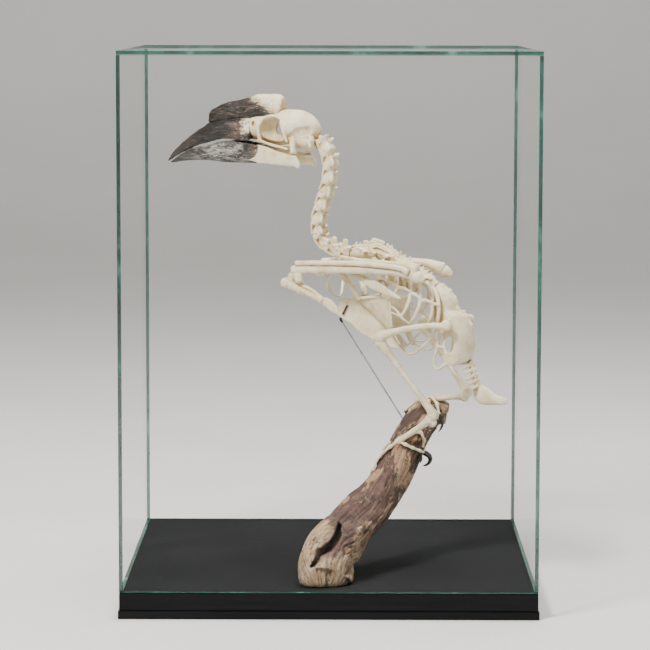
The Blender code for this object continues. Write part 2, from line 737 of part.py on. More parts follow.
SCAPULA = (
    (9.0, 19.6, 274.4, 1.4, 2.2),
    (0.0, 21.8, 272.4, 1.1, 2.4),
    (-12.0, 24.0, 268.0, 0.9, 3.4),
    (-22.0, 25.0, 264.0, 0.8, 4.2),
    (-34.0, 25.6, 259.0, 0.8, 3.2),
    (-46.0, 25.0, 253.6, 0.6, 0.9),
)

FURCULA = (
    (13.5, 17.6, 275.5, 1.3),
    (20.0, 18.6, 275.0, 1.2),
    (26.0, 18.2, 269.0, 1.5),
    (28.0, 16.8, 262.0, 1.8),
    (27.0, 12.5, 256.0, 1.4),
    (25.2, 6.0, 251.6, 1.0),
    (24.6, 0.0, 250.4, 0.9),
)

HUMERUS = (
    (10.5, 19.0, 279.6, 4.6, 5.2),
    (3.0, 19.6, 282.4, 3.6, 5.4),
    (-9.0, 21.4, 283.4, 2.8, 3.1),
    (-26.0, 24.0, 283.6, 2.7, 2.7),
    (-45.0, 26.8, 283.2, 2.8, 2.8),
    (-55.0, 28.6, 281.6, 4.6, 4.6),
    (-62.0, 29.4, 279.4, 5.0, 6.0),
)

CREST = (
    (14.0, 20.5, 283.5, 1.2, 2.6),
    (11.6, 21.0, 286.6, 1.2, 2.4),
    (4.0, 21.4, 285.6, 1.1, 2.2),
    (-8.0, 22.0, 284.6, 1.0, 1.4),
)

ULNA = (
    (-70.0, 31.0, 271.0, 2.0, 2.8),
    (-64.5, 30.4, 273.6, 4.6, 5.6),
    (-54.0, 29.8, 276.0, 3.6, 4.0),
    (-38.0, 29.4, 277.4, 3.1, 3.4),
    (-5.0, 28.4, 277.2, 3.0, 3.3),
    (30.0, 27.2, 275.8, 3.0, 3.3),
    (48.0, 26.6, 275.0, 3.2, 3.5),
    (56.0, 26.4, 273.6, 3.8, 5.2),
)

RADIUS_BONE = (
    (-57.0, 35.4, 278.0, 2.2, 2.8),
    (-46.0, 34.0, 281.6, 2.0, 2.3),
    (-5.0, 31.0, 283.0, 2.0, 2.3),
    (35.0, 28.6, 281.8, 2.0, 2.3),
    (53.0, 27.4, 280.8, 2.8, 2.4),
)
WRIST_DROP = 2.0
ELBOW_DROP = 3.4
ELBOW_END = -60.0
WRIST_END = 56.0
SHOULDER_END = 10.0


def hand(name, side, root, knuckle, tip, rise, parts):
    """Fused hand bones: two metacarpals with a slit between, the digit's blade and its tip."""
    root, knuckle, tip, rise = (Vector(place) for place in (root, knuckle, tip, rise))
    second = knuckle.lerp(tip, 0.56)
    wrist = root - (root - knuckle).normalized() * 1.5
    pieces = [rod([(*wrist, 3.6, 5.2), (*root.lerp(knuckle, 0.14), 2.6, 4.0), (*root.lerp(knuckle, 0.4), 2.2),
                   (*root.lerp(knuckle, 0.8), 2.2), (*knuckle, 2.4, 3.2)], steps=1)]
    upper = [root.lerp(knuckle, 0.1) + rise * 0.6, root.lerp(knuckle, 0.45) + rise * 1.15,
             root.lerp(knuckle, 0.75) + rise * 1.1, knuckle + rise * 0.55]
    pieces.append(rod([(*point, 1.2, 1.5) for point in upper], sides=6, steps=1, blunt=0))
    blade = [(*knuckle, 1.5, 3.0), (*(knuckle.lerp(second, 0.4) + rise * 0.5), 1.1, 4.2),
             (*(second - (second - knuckle) * 0.15 + rise * 0.3), 1.1, 3.8), (*second, 1.4, 2.0)]
    pieces.append(rod(blade, steps=1, blunt=0))
    pieces.append(rod([(*second, 1.3, 1.9), (*second.lerp(tip, 0.5), 0.9, 1.4), (*tip, 0.5, 0.6)], sides=6, steps=1))
    spur = root.lerp(knuckle, 0.08) - rise * 0.4
    end = spur + (knuckle - root) * 0.36 - rise * 0.35
    pieces.append(rod([(*spur, 1.2, 1.8), (*spur.lerp(end, 0.5), 1.1, 1.6), (*end, 0.5, 0.6)], sides=6, steps=1))
    return node(name, [*pieces], "bone", parts)


HANDS = {
    1: ((60.0, 27.5, 262.0), (30.0, 25.0, 248.6), (4.5, 20.5, 230.2), (0.6, -0.5, 4.4)),
    -1: ((57.0, -33.0, 270.6), (24.0, -37.4, 272.0), (-10.0, -37.2, 273.4), (0.0, 0.5, 3.0)),
}


def make_wing(parts, side, word):
    """Upper arm, forearm, wrist and hand of one side."""
    arm = node("humerus_" + word, [
        rod(upper_arm(HUMERUS, side), steps=1),
        rod(upper_arm(CREST, side), sides=6, steps=1),
    ], "bone", parts)
    ulna = node("ulna_" + word, [rod(forearm(ULNA, side), steps=1)], "bone", parts)
    clear_of(ulna, arm)
    radius = node("radius_" + word, [rod(forearm(RADIUS_BONE, side), sides=6, steps=1)], "bone", parts)
    clear_of(radius, ulna, arm)
    root, knuckle, tip, rise = HANDS[side]
    palm = hand("hand_" + word, side, root, knuckle, tip, rise, parts)
    wrist_top = Vector(forearm([(57.5, 26.6, 270.0)], side)[0])
    towards = Vector(root)
    low = 265.4 if side > 0 else 270.0
    block = forearm([(51.5, 27.0, 271.0, 4.6, 4.2), (50.4, 27.2, low, 4.8, 4.0)], side)
    carpal = node("wrist_" + word, [
        rod([(*wrist_top, 3.2, 3.6), (*towards, 3.2, 3.6)], steps=1),
        rod(block, steps=1),
        ball(tuple(towards + Vector((3.4, 0.5 * side, 1.2))), (5.0, 3.6, 4.8)),
    ], "bone", parts)
    clear_of(carpal, ulna, radius, palm)
    return arm, ulna, palm, carpal


def make_shoulder(parts, side, word, sternum, arm):
    coracoid = node("coracoid_" + word, [
        rod(sided(CORACOID, side), steps=1),
        rod(sided([(8.0, 14.0, 265.0, 1.1), (-3.0, 13.0, 262.4, 0.5)], side), sides=6, steps=1),
    ], "bone", parts)
    clear_of(coracoid, sternum, arm)
    scapula = node("scapula_" + word, [rod(sided(SCAPULA, side), sides=6, steps=1)], "bone", parts)
    clear_of(scapula, coracoid, arm)
    return coracoid, scapula


def make_furcula(parts, coracoids):
    right = [(s[0], -s[1], *s[2:]) for s in reversed(FURCULA[:-1])]
    bow = rod([*FURCULA, *right], sides=6, steps=1, across=Vector((1.0, 0.0, 0.0)))
    furcula = node("furcula", [bow], "bone", parts)
    clear_of(furcula, *coracoids)
    return furcula


# Pelvis, legs and tail

PELVIS_ROWS = (  # z, then u of the back's middle line, u of the side's edge and v of that edge
    (264.5, -75.0, -72.0, 6.5),
    (257.5, -83.5, -71.5, 10.0),
    (250.5, -88.3, -71.0, 12.5),
    (243.5, -90.2, -71.0, 14.0),
    (239.0, -97.4, -72.5, 15.0),
    (232.0, -101.0, -76.0, 16.5),
    (224.0, -103.0, -82.0, 17.0),
    (215.0, -104.0, -83.6, 17.4),
    (207.0, -103.6, -84.0, 17.4),
    (200.5, -101.4, -85.0, 17.0),
    (196.5, -96.0, -88.0, 16.5),
)


def pelvis_rows(columns=4):
    """Rows of one side of the pelvis, from the middle line of the back round to the side's edge."""
    rows = []
    for z, back_u, edge_u, edge_v in PELVIS_ROWS:
        row = []
        for k in range(columns + 1):
            t = k / columns
            v = edge_v * sin(pi / 2 * min(1.0, t * 1.5)) ** 0.8
            drop = 3.0 * t if z < 200 else 0.0
            row.append(Vector((back_u + (edge_u - back_u) * t ** 1.35, v, z + drop * 0.3)))
        rows.append(row)
    return rows


FORAMEN = (-89.5, 214.5)
CREST_LINE = (
    (-70.0, 266.5), (-77.0, 264.5), (-84.5, 258.5), (-89.0, 252.5), (-90.5, 245.0), (-91.0, 243.0), (-97.0, 241.5),
    (-101.4, 235.6), (-103.6, 228.0), (-104.8, 217.0), (-104.2, 206.0), (-100.0, 206.0), (-98.0, 220.0),
    (-90.0, 238.0), (-80.0, 253.0), (-70.0, 260.0),
)
SYNSACRUM = (
    (-71.5, 0.0, 262.0, 4.2, 4.0),
    (-80.0, 0.0, 254.5, 4.8, 4.4),
    (-88.0, 0.0, 243.0, 5.0, 4.4),
    (-95.0, 0.0, 230.0, 5.2, 4.2),
    (-99.0, 0.0, 216.0, 4.6, 3.4),
    (-100.8, 0.0, 203.5, 3.6, 2.8),
)


def make_pelvis(parts, back, cages):
    pieces = [rod(SYNSACRUM, steps=1)]
    half = pelvis_rows()
    rows = [[Vector((p.x, -p.y, p.z)) for p in reversed(row[1:])] + row for row in half]
    pieces.append(sheet(rows, PLATE_THICKNESS))
    slant = [(FORAMEN[0] - 0.466 * (v - 17.0), v, FORAMEN[1], 3.8, 6.8) for v in (9.0, 26.0)]
    foramina = [rod(sided(slant, side), steps=1, across=Vector((1.0, 0.0, 0.0)), blunt=0) for side in (1, -1)]
    for side in (1, -1):
        for u, z, reach in ((-80.0, 252.5, 10.5), (-91.0, 233.0, 13.0)):
            bar = [(u, 0.0, z, 2.6, 2.2), (u + 1.5, reach * side, z, 2.2, 1.8)]
            pieces.append(rod(bar, sides=6, steps=1, across=Vector((1.0, 0.0, 0.0)), blunt=0))
        rim = [(-87.5, 12.0, 230.0, 4.6, 4.6), (-87.0, 17.0, 230.5, 4.4, 4.4)]
        pieces.append(rod(sided(rim, side), steps=1, across=Vector((1.0, 0.0, 0.0))))
        pubis = [(-81.0, 16.6, 227.0, 1.8), (-78.6, 17.0, 217.0, 1.5), (-77.0, 17.2, 209.0, 1.2),
                 (-74.8, 17.2, 202.0, 1.1), (-75.2, 17.0, 196.0, 1.2), (-78.4, 16.8, 192.8, 1.6),
                 (-86.0, 16.6, 198.0, 1.8)]
        pieces.append(rod(sided(pubis, side), sides=5, steps=1, blunt=0))
        bridge = [(-78.0, 17.0, 213.0, 1.3), (-84.5, 17.3, 212.0, 1.6)]
        pieces.append(rod(sided(bridge, side), sides=5, steps=1, blunt=0))
    crest = plate(CREST_LINE, -0.9, 0.9)
    pelvis = node("pelvis", [*pieces, crest], "bone", parts, cutters=foramina)
    clear_of(pelvis, back, *cages)
    return pelvis


LEGS = {  # hip, knee, ankle and the foot of the long foot bone
    1: ((-86.5, 18.6, 230.6), (-31.0, 32.0, 220.6), (-74.8, 17.0, 152.6), (-45.0, 21.5, 128.6)),
    -1: ((-86.5, -18.6, 230.6), (-39.6, -43.0, 227.4), (-93.0, -14.8, 170.2), (-53.6, -12.6, 160.0)),
}


def shaft(start, end, near, waist, far, bow=0.0, sides=8):
    """Long bone between two joints: thick ends, a thin middle and an even bow."""
    start, end = Vector(start), Vector(end)
    bend = Vector((0.0, 0.0, bow))
    stations = []
    for t, thick in ((0.0, near), (0.12, near * 0.72), (0.35, waist), (0.65, waist), (0.88, far * 0.72), (1.0, far)):
        place = start.lerp(end, t) + bend * (4 * t * (1 - t))
        stations.append((*place, thick))
    return rod(stations, sides=sides, steps=1)


def make_leg(parts, side, word, pelvis, branch):
    hip, knee, ankle, foot = (Vector(place) for place in LEGS[side])
    outer = hip + Vector((-3.2, 7.5 * side, 0.8))
    head = rod([(*hip, 3.4), (*outer, 3.8)], steps=1)
    trochanter = ball(tuple(outer + Vector((-0.4, 0.5 * side, 1.2))), (4.4, 3.0, 4.4))
    femur = node("femur_" + word, [shaft(outer, knee, 4.0, 2.8, 5.2, bow=3.4), head, trochanter], "bone", parts)
    clear_of(femur, pelvis)
    top = knee + Vector((0.8, 0.0, -5.2))
    crest = rod([(*(top + Vector((3.4, 0, 1.0))), 1.5, 2.0), (*top.lerp(ankle, 0.1), 1.6)], sides=6, steps=1)
    splint = rod([(*(top + Vector((-2.6, 2.2 * side, -0.5))), 1.1),
                  (*(top.lerp(ankle, 0.45) + Vector((-1.5, 1.2 * side, 0.0))), 0.7)], sides=6, steps=1)
    tibia = node("tibiotarsus_" + word, [shaft(top, ankle, 5.4, 2.6, 4.8), crest, splint], "bone", parts)
    clear_of(tibia, femur)
    heel = ankle + (foot - ankle).normalized() * 4.6 + Vector((0.0, 0.0, -2.2))
    foot_bone = node("tarsometatarsus_" + word, [
        shaft(heel, foot, 5.0, 2.5, 3.6),
        ball(tuple(heel + Vector((-2.6, 0, -1.6))), (4.0, 3.0, 4.4)),
    ], "bone", parts)
    clear_of(foot_bone, tibia, branch)
    return femur, tibia, foot_bone


TOES = {  # paths in the case's own x, y, z, from the foot bone out to the claw's root
    1: (
        ((60.0, -29.0, 128.0), (53.0, -34.5, 124.0), (46.2, -36.5, 118.6), (41.0, -38.5, 112.4), (38.8, -44.0, 106.6)),
        ((60.0, -28.6, 128.2), (53.0, -24.6, 125.4), (47.8, -18.6, 119.4), (45.2, -14.4, 111.4)),
        ((60.5, -29.5, 127.6), (66.4, -33.4, 125.6), (72.6, -33.0, 122.6), (79.2, -29.4, 119.6), (82.4, -25.4, 117.4)),
        ((62.0, -27.0, 129.0), (71.0, -24.0, 135.0), (80.0, -22.0, 134.6), (83.0, -22.6, 128.0), (81.4, -22.6, 121.8)),
    ),
    -1: (
        ((83.0, -0.8, 161.2), (76.6, -2.6, 159.4), (71.0, -2.4, 155.4), (67.0, -0.6, 151.4)),
        ((83.4, -1.4, 161.0), (86.6, -9.6, 160.6), (89.4, -15.6, 153.4)),
        ((84.4, -0.8, 161.6), (90.0, -6.4, 164.0), (94.4, -13.4, 158.6), (96.0, -17.0, 149.6)),
        ((83.0, 0.6, 161.0), (84.6, 10.0, 160.0), (84.0, 15.6, 151.0)),
    ),
}

CLAWS = {
    1: (
        ((38.4, -44.2, 105.6), (36.9, -40.8, 102.2), (36.6, -36.4, 99.6), (38.0, -31.8, 98.0)),
        ((45.0, -14.0, 110.8), (43.4, -11.0, 106.8), (42.6, -9.0, 102.6), (44.0, -7.6, 98.8)),
        ((83.2, -24.8, 117.0), (87.4, -23.4, 114.0), (88.2, -22.0, 109.6), (85.8, -21.4, 106.2), (82.2, -21.4, 105.0)),
        ((81.2, -22.4, 121.0), (79.6, -25.6, 116.6), (80.4, -27.6, 112.0), (79.2, -28.4, 108.4)),
    ),
    -1: (
        ((67.4, 0.4, 150.6), (68.4, 5.4, 147.8), (69.6, 9.4, 143.8), (71.6, 11.2, 139.8)),
        ((89.6, -16.2, 152.8), (91.0, -19.0, 148.4), (90.6, -20.4, 143.6), (89.4, -20.6, 140.0)),
        ((96.0, -17.4, 149.0), (98.4, -18.8, 144.8), (98.6, -19.6, 140.0), (95.8, -19.8, 135.0)),
        ((83.9, 16.0, 150.2), (81.6, 17.8, 145.4), (80.0, 18.2, 141.4), (80.0, 17.0, 137.4)),
    ),
}


def toe(line):
    """Row of toe bones: swollen at each joint."""
    stations = []
    for i in range(len(line) - 1):
        start, end = Vector(line[i]), Vector(line[i + 1])
        taper = 1.0 - 0.07 * i
        stations.append((*start, 1.75 * taper))
        stations.append((*start.lerp(end, 0.5), 1.2 * taper))
    stations.append((*line[-1], 1.45))
    return rod(stations, sides=5, steps=1, across=UPWARD, frame=ROOM, blunt=0.3)


def make_foot(parts, side, word, branch, foot_bone):
    knuckle = ball(tuple(Vector(TOES[side][0][0])), (3.0, 3.0, 2.6), frame=ROOM)
    foot = node("foot_" + word, [knuckle, *[toe(line) for line in TOES[side]]], "bone", parts)
    clear_of(foot, foot_bone, branch)
    for number, line in enumerate(CLAWS[side], start=1):
        count = len(line) - 1
        stations = [(*place, 1.75 - 1.3 * (k / count) ** 1.5) for k, place in enumerate(line)]
        claw = node(f"claw_{word}_{number}", [rod(stations, sides=6, steps=1, across=UPWARD, frame=ROOM)], "claw", parts)
        clear_of(claw, foot, branch)


TAIL_LINE = ((-101.8, 0.0, 199.0), (-103.8, 0.0, 193.0), (-105.8, 0.0, 187.0), (-107.6, 0.0, 181.6), (-109.4, 0.0, 176.6))

PYGOSTYLE = (  # u, top, bottom and half width
    (-105.6, 173.6, 165.6, 2.0),
    (-109.5, 178.4, 162.8, 2.9),
    (-113.5, 178.2, 161.6, 2.8),
    (-119.5, 174.8, 161.2, 2.3),
    (-126.4, 170.8, 162.2, 1.9),
    (-132.0, 169.6, 162.2, 1.5),
    (-136.4, 168.2, 163.0, 1.0),
)


def make_tail(parts, pelvis):
    """Free tail vertebrae with their side bars and spines, and the ploughshare bone."""
    pieces = [rod([(*place, 3.0, 2.6) for place in TAIL_LINE], sides=6, steps=1, blunt=0.1)]
    for i in range(5):
        place = Vector((-102.8 - 1.75 * i, 0.0, 196.6 - 4.6 * i))
        reach = 10.0 - 0.5 * i
        tips = [(*(place + Vector((3.6, reach * side, -2.6))), 1.5, 1.5) for side in (1, -1)]
        pieces.append(rod([tips[0], (*place, 2.0, 1.9), tips[1]], sides=6, steps=1, blunt=0))
        if i < 4:
            spine = place + Vector((-3.6, 0.0, 1.2))
            pieces.append(rod([(*place, 1.5, 1.5), (*spine, 1.1, 1.0)], sides=5, steps=1, blunt=0))
    tail = node("tail_vertebrae", pieces, "bone", parts)
    clear_of(tail, pelvis)
    share = node("pygostyle", [rod(profile(PYGOSTYLE), steps=1, blunt=0.4)], "bone", parts)
    clear_of(share, tail)


def build():
    clear_scene()
    make_materials()
    parts = bpy.data.collections.new("hornbill_skeleton")
    bpy.context.scene.collection.children.link(parts)
    make_case(parts)
    branch = make_perch(parts)
    skull = make_skull(parts)
    make_bill(parts, skull)
    neck = make_neck(parts, skull)
    back = make_back(parts, neck)
    cages = [rib_cage(parts, side, back) for side in (1, -1)]
    sternum = make_sternum(parts, cages)
    coracoids = []
    for side, word in ((1, "left"), (-1, "right")):
        arm, ulna, palm, carpal = make_wing(parts, side, word)
        coracoid, scapula = make_shoulder(parts, side, word, sternum, arm)
        coracoids += [coracoid, scapula, arm]
    make_furcula(parts, coracoids)
    pelvis = make_pelvis(parts, back, cages)
    for side, word in ((1, "left"), (-1, "right")):
        femur, tibia, foot_bone = make_leg(parts, side, word, pelvis, branch)
        make_foot(parts, side, word, branch, foot_bone)
    make_tail(parts, pelvis)
    make_rod(parts, branch, sternum)


build()
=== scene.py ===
"""Looks of the hornbill skeleton on its driftwood perch, in a glass display case.

The bones are carved anew from the same lines as the solids, at life size: each is joined from
shafts, plates and balls, turned into one even skin, smoothed, and given its own small relief.
The bird is laid out in a frame of its own: u runs forward, v to its left and z up, in millimetres.
"""
import bmesh
import bpy
import json
import numpy as np
from math import atan2, cos, hypot, pi, radians, sin
from mathutils import Matrix, Vector, noise

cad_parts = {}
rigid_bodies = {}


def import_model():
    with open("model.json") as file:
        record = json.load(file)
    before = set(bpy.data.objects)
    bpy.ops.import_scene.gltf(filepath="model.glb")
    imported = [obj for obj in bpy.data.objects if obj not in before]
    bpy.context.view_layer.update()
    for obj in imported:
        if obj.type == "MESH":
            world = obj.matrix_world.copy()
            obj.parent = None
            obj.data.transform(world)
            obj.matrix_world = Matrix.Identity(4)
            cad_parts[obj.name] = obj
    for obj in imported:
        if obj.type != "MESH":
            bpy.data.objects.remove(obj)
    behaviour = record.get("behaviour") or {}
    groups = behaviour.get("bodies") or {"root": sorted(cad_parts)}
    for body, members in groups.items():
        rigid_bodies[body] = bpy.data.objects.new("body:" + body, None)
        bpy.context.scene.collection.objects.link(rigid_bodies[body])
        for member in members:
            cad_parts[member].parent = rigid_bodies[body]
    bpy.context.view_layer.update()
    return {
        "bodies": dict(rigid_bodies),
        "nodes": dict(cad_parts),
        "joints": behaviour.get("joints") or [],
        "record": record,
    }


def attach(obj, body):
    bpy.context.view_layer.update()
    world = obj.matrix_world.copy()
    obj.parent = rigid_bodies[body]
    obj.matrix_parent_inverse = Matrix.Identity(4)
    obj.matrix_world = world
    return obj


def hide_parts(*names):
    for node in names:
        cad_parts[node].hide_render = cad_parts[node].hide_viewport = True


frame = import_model()

MM = 0.001
GAP = 0.3

# Case
CASE_SIDE = 350
CASE_HEIGHT = 470
BASE_HEIGHT = 22
BASE_FOOT_HEIGHT = 7
BASE_STEP = 1
GLASS = 3

# Place of the bird's frame in the case
BIRD_X = 30
BIRD_Y = 10
BIRD_TURN = radians(155)

# Skull
ORBIT = (84.8, 396.2)
ORBIT_RADIUS = 12.9
SEPTUM = 2

# Spine
VERTEBRA = 12.6
NECK_RADIUS = 5.4
SPINE_STEP = 0.5

# Thin bones
RIB = 1.15
KEEL_THICKNESS = 1.6
PLATE_THICKNESS = 1.5

# Perch: x, y, z of its middle line and its radius
PERCH = (
    (-3.3, -137, 22.3, 21.5), (-2.6, -123, 35, 22), (3, -109, 47, 22), (19.5, -86, 62.1, 19.6),
    (38.6, -59, 78.3, 17.6), (54.5, -34, 97.9, 16.4), (68.9, -12, 122.9, 15.4), (83, -3, 143, 13.8),
    (93.5, -3, 149.4, 12), (103, -4.5, 148, 8.4),
)

BIRD = Matrix.Translation((BIRD_X * MM, BIRD_Y * MM, 0)) @ Matrix.Rotation(BIRD_TURN, 4, "Z")
ROOM = Matrix.Identity(4)
FORWARD = Vector((1, 0, 0))
ACROSS = Vector((0, 1, 0))
UPWARD = Vector((0, 0, 1))

# Steps of a curve between two stations
FINE = 3
MATERIALS = {}
SIDES = ((1, "left"), (-1, "right"))

PARTS = bpy.data.collections.new("hornbill_looks")
bpy.context.scene.collection.children.link(PARTS)


class Graph:
    """Short names for the nodes of one material."""

    def __init__(self, name, roughness=0.5, metallic=0):
        self.entry = bpy.data.materials.new(name)
        self.entry.use_nodes = True
        self.tree = self.entry.node_tree
        self.shader = self.tree.nodes["Principled BSDF"]
        self.shader.inputs["Roughness"].default_value = roughness
        self.shader.inputs["Metallic"].default_value = metallic
        MATERIALS[name] = self.entry

    def add(self, kind, inputs, output=0, **settings):
        entry = self.tree.nodes.new("ShaderNode" + kind)
        for key, value in settings.items():
            setattr(entry, key, value)
        for key, value in inputs.items():
            self.put(entry.inputs[key], value)
        return entry.outputs[output]

    def put(self, socket, value):
        if isinstance(value, bpy.types.NodeSocket):
            self.tree.links.new(value, socket)
        else:
            socket.default_value = value

    def bird(self):
        """Place in the bird's own frame, in millimetres."""
        place = self.add("TexCoord", {}, "Object")
        return self.add("Mapping", {
            "Vector": place,
            "Location": (BIRD_X * MM, BIRD_Y * MM, 0),
            "Rotation": (0, 0, BIRD_TURN),
            "Scale": (MM, MM, MM),
        }, vector_type="TEXTURE")

    def room(self):
        """Place in the case's frame, in millimetres."""
        place = self.add("TexCoord", {}, "Object")
        return self.add("Mapping", {"Vector": place, "Scale": (1 / MM, 1 / MM, 1 / MM)})

    def stretch(self, vector, scale, shift=(0, 0, 0)):
        return self.add("Mapping", {"Vector": vector, "Scale": scale, "Location": shift})

    def cloud(self, vector, scale, detail=4, rough=0.55, twist=0):
        return self.add("TexNoise", {
            "Vector": vector, "Scale": scale, "Detail": detail, "Roughness": rough, "Distortion": twist})

    def spread(self, value, low, high, to_low=0, to_high=1):
        """Straight map of a value, held inside the new range."""
        return self.add("MapRange", {
            "Value": value, "From Min": low, "From Max": high, "To Min": to_low, "To Max": to_high})

    def math(self, operation, one, two):
        entry = self.tree.nodes.new("ShaderNodeMath")
        entry.operation = operation
        self.put(entry.inputs[0], one)
        self.put(entry.inputs[1], two)
        return entry.outputs[0]

    def times(self, one, two):
        return self.math("MULTIPLY", one, two)

    def plus(self, one, two):
        return self.math("ADD", one, two)

    def axis(self, vector, name):
        return self.add("SeparateXYZ", {"Vector": vector}, name)

    def band(self, value, low, high, soft):
        """One between two limits and zero outside, with soft sides."""
        rise = self.spread(value, low - soft, low + soft)
        fall = self.spread(value, high - soft, high + soft, 1, 0)
        return self.times(rise, fall)

    def mix(self, factor, one, two):
        entry = self.tree.nodes.new("ShaderNodeMix")
        entry.data_type = "RGBA"
        self.put(entry.inputs[0], factor)
        self.put(entry.inputs[6], one if isinstance(one, bpy.types.NodeSocket) else (*one, 1))
        self.put(entry.inputs[7], two if isinstance(two, bpy.types.NodeSocket) else (*two, 1))
        return entry.outputs[2]

    def ramp(self, value, *stops):
        entry = self.tree.nodes.new("ShaderNodeValToRGB")
        self.put(entry.inputs[0], value)
        dots = entry.color_ramp.elements
        while len(dots) < len(stops):
            dots.new(0.5)
        for dot, (place, colour) in zip(dots, stops):
            dot.position = place
            dot.color = (*colour, 1)
        return entry.outputs[0]

    def mark(self, name, output="Fac"):
        return self.add("Attribute", {}, output, attribute_name=name)

    def finish(self, colour, roughness=None, height=None, distance=0.2, strength=0.5):
        self.put(self.shader.inputs["Base Color"], colour)
        if roughness is not None:
            self.put(self.shader.inputs["Roughness"], roughness)
        if height is not None:
            bump = self.add("Bump", {"Height": height, "Distance": distance * MM, "Strength": strength}, "Normal")
            self.put(self.shader.inputs["Normal"], bump)


def bone_colour_with_painted_light(g, place):
    """Ivory bone with faint blotches, and painted light: yellow-tan painted shade where the surface is hollow or hidden
    from the light, and a painted highlight on proud ridges.
    """
    blotch = g.cloud(place, 0.11, 5)
    fine = g.cloud(place, 0.9, 5, 0.65)
    colour = g.ramp(blotch, (0.3, (0.66, 0.52, 0.28)), (0.5, (0.79, 0.69, 0.47)), (0.72, (0.85, 0.79, 0.62)))
    colour = g.mix(g.spread(fine, 0.52, 0.78, 0, 0.4), colour, (0.58, 0.42, 0.2))
    # painted shade: yellow-tan where the surface is hollow
    hollow = g.spread(g.mark("cavity"), 0.02, 0.45, 0, 0.8)
    colour = g.mix(hollow, colour, (0.42, 0.25, 0.075))
    # painted highlight: lighter on proud ridges
    ridge_painted_highlight = g.spread(g.mark("cavity"), -0.6, -0.08, 0.6, 0)
    colour = g.mix(ridge_painted_highlight, colour, (0.92, 0.89, 0.78))
    # painted shade: darker yellow-tan where the surface is hidden from the light
    shade = g.add("AmbientOcclusion", {"Distance": 17 * MM}, "AO", samples=5)
    deep = g.spread(shade, 0.25, 0.95, 0.9, 0)
    return g.mix(deep, colour, (0.46, 0.29, 0.09)), blotch, fine


def bone():
    g = Graph("bone_look")
    place = g.room()
    colour, _, fine = bone_colour_with_painted_light(g, place)
    pits = g.add("TexVoronoi", {"Vector": place, "Scale": 0.75}, "Distance")
    height = g.plus(fine, g.spread(pits, 0, 0.35, -0.5, 0))
    g.finish(colour, g.spread(fine, 0.3, 0.75, 0.42, 0.66), height, 0.22, 0.5)


def horn_streaks(g, place):
    """Long streaks that run with the horn, broad ones and fine ones."""
    broad = g.cloud(g.stretch(place, (0.06, 0.16, 0.21)), 1, 8, 0.68, 0.6)
    narrow = g.cloud(g.stretch(place, (0.15, 0.7, 1)), 1, 6, 0.7, 0.4)
    return broad, narrow


def beak():
    """Upper sheath: brown-black horn with grey streaks, rust towards its root and pale speckles."""
    g = Graph("beak_look")
    place = g.bird()
    u = g.axis(place, "X")
    z = g.axis(place, "Z")
    broad, narrow = horn_streaks(g, place)
    dark = g.ramp(broad, (0.42, (0.004, 0.0025, 0.002)), (0.55, (0.016, 0.009, 0.007)), (0.67, (0.115, 0.072, 0.054)))
    grey = g.spread(narrow, 0.55, 0.68, 0, 0.48)
    colour = g.mix(grey, dark, (0.21, 0.16, 0.135))
    colour = g.mix(g.spread(narrow, 0.44, 0.37, 0, 0.85), colour, (0.007, 0.005, 0.005))
    rust = g.times(g.spread(u, 132, 116), g.spread(g.cloud(place, 0.12, 4), 0.46, 0.62))
    colour = g.mix(g.times(rust, 0.5), colour, (0.13, 0.052, 0.026))
    pale = g.times(g.spread(u, 130, 114), g.spread(g.cloud(place, 0.55, 3), 0.57, 0.66))
    colour = g.mix(g.times(pale, 0.75), colour, (0.5, 0.41, 0.3))
    # ivory is the bone's colour with its painted shade and painted highlight
    ivory, blotch, _ = bone_colour_with_painted_light(g, place)
    speck = g.spread(g.cloud(place, 0.42, 4, 0.6), 0.53, 0.6)
    ivory = g.mix(g.times(speck, 0.85), ivory, (0.2, 0.12, 0.075))
    root = g.spread(g.plus(u, g.spread(narrow, 0.3, 0.7, -7, 7)), 117.5, 113)
    root = g.times(root, g.spread(g.plus(z, g.spread(blotch, 0.3, 0.7, -4, 4)), 392, 396))
    colour = g.mix(root, colour, ivory)
    tip = g.spread(u, 156, 186)
    colour = g.mix(g.times(tip, 0.42), colour, (0.09, 0.068, 0.058))
    height = g.plus(narrow, g.times(broad, 0.6))
    g.finish(colour, g.spread(narrow, 0.3, 0.7, 0.36, 0.6), height, 0.6, 0.9)


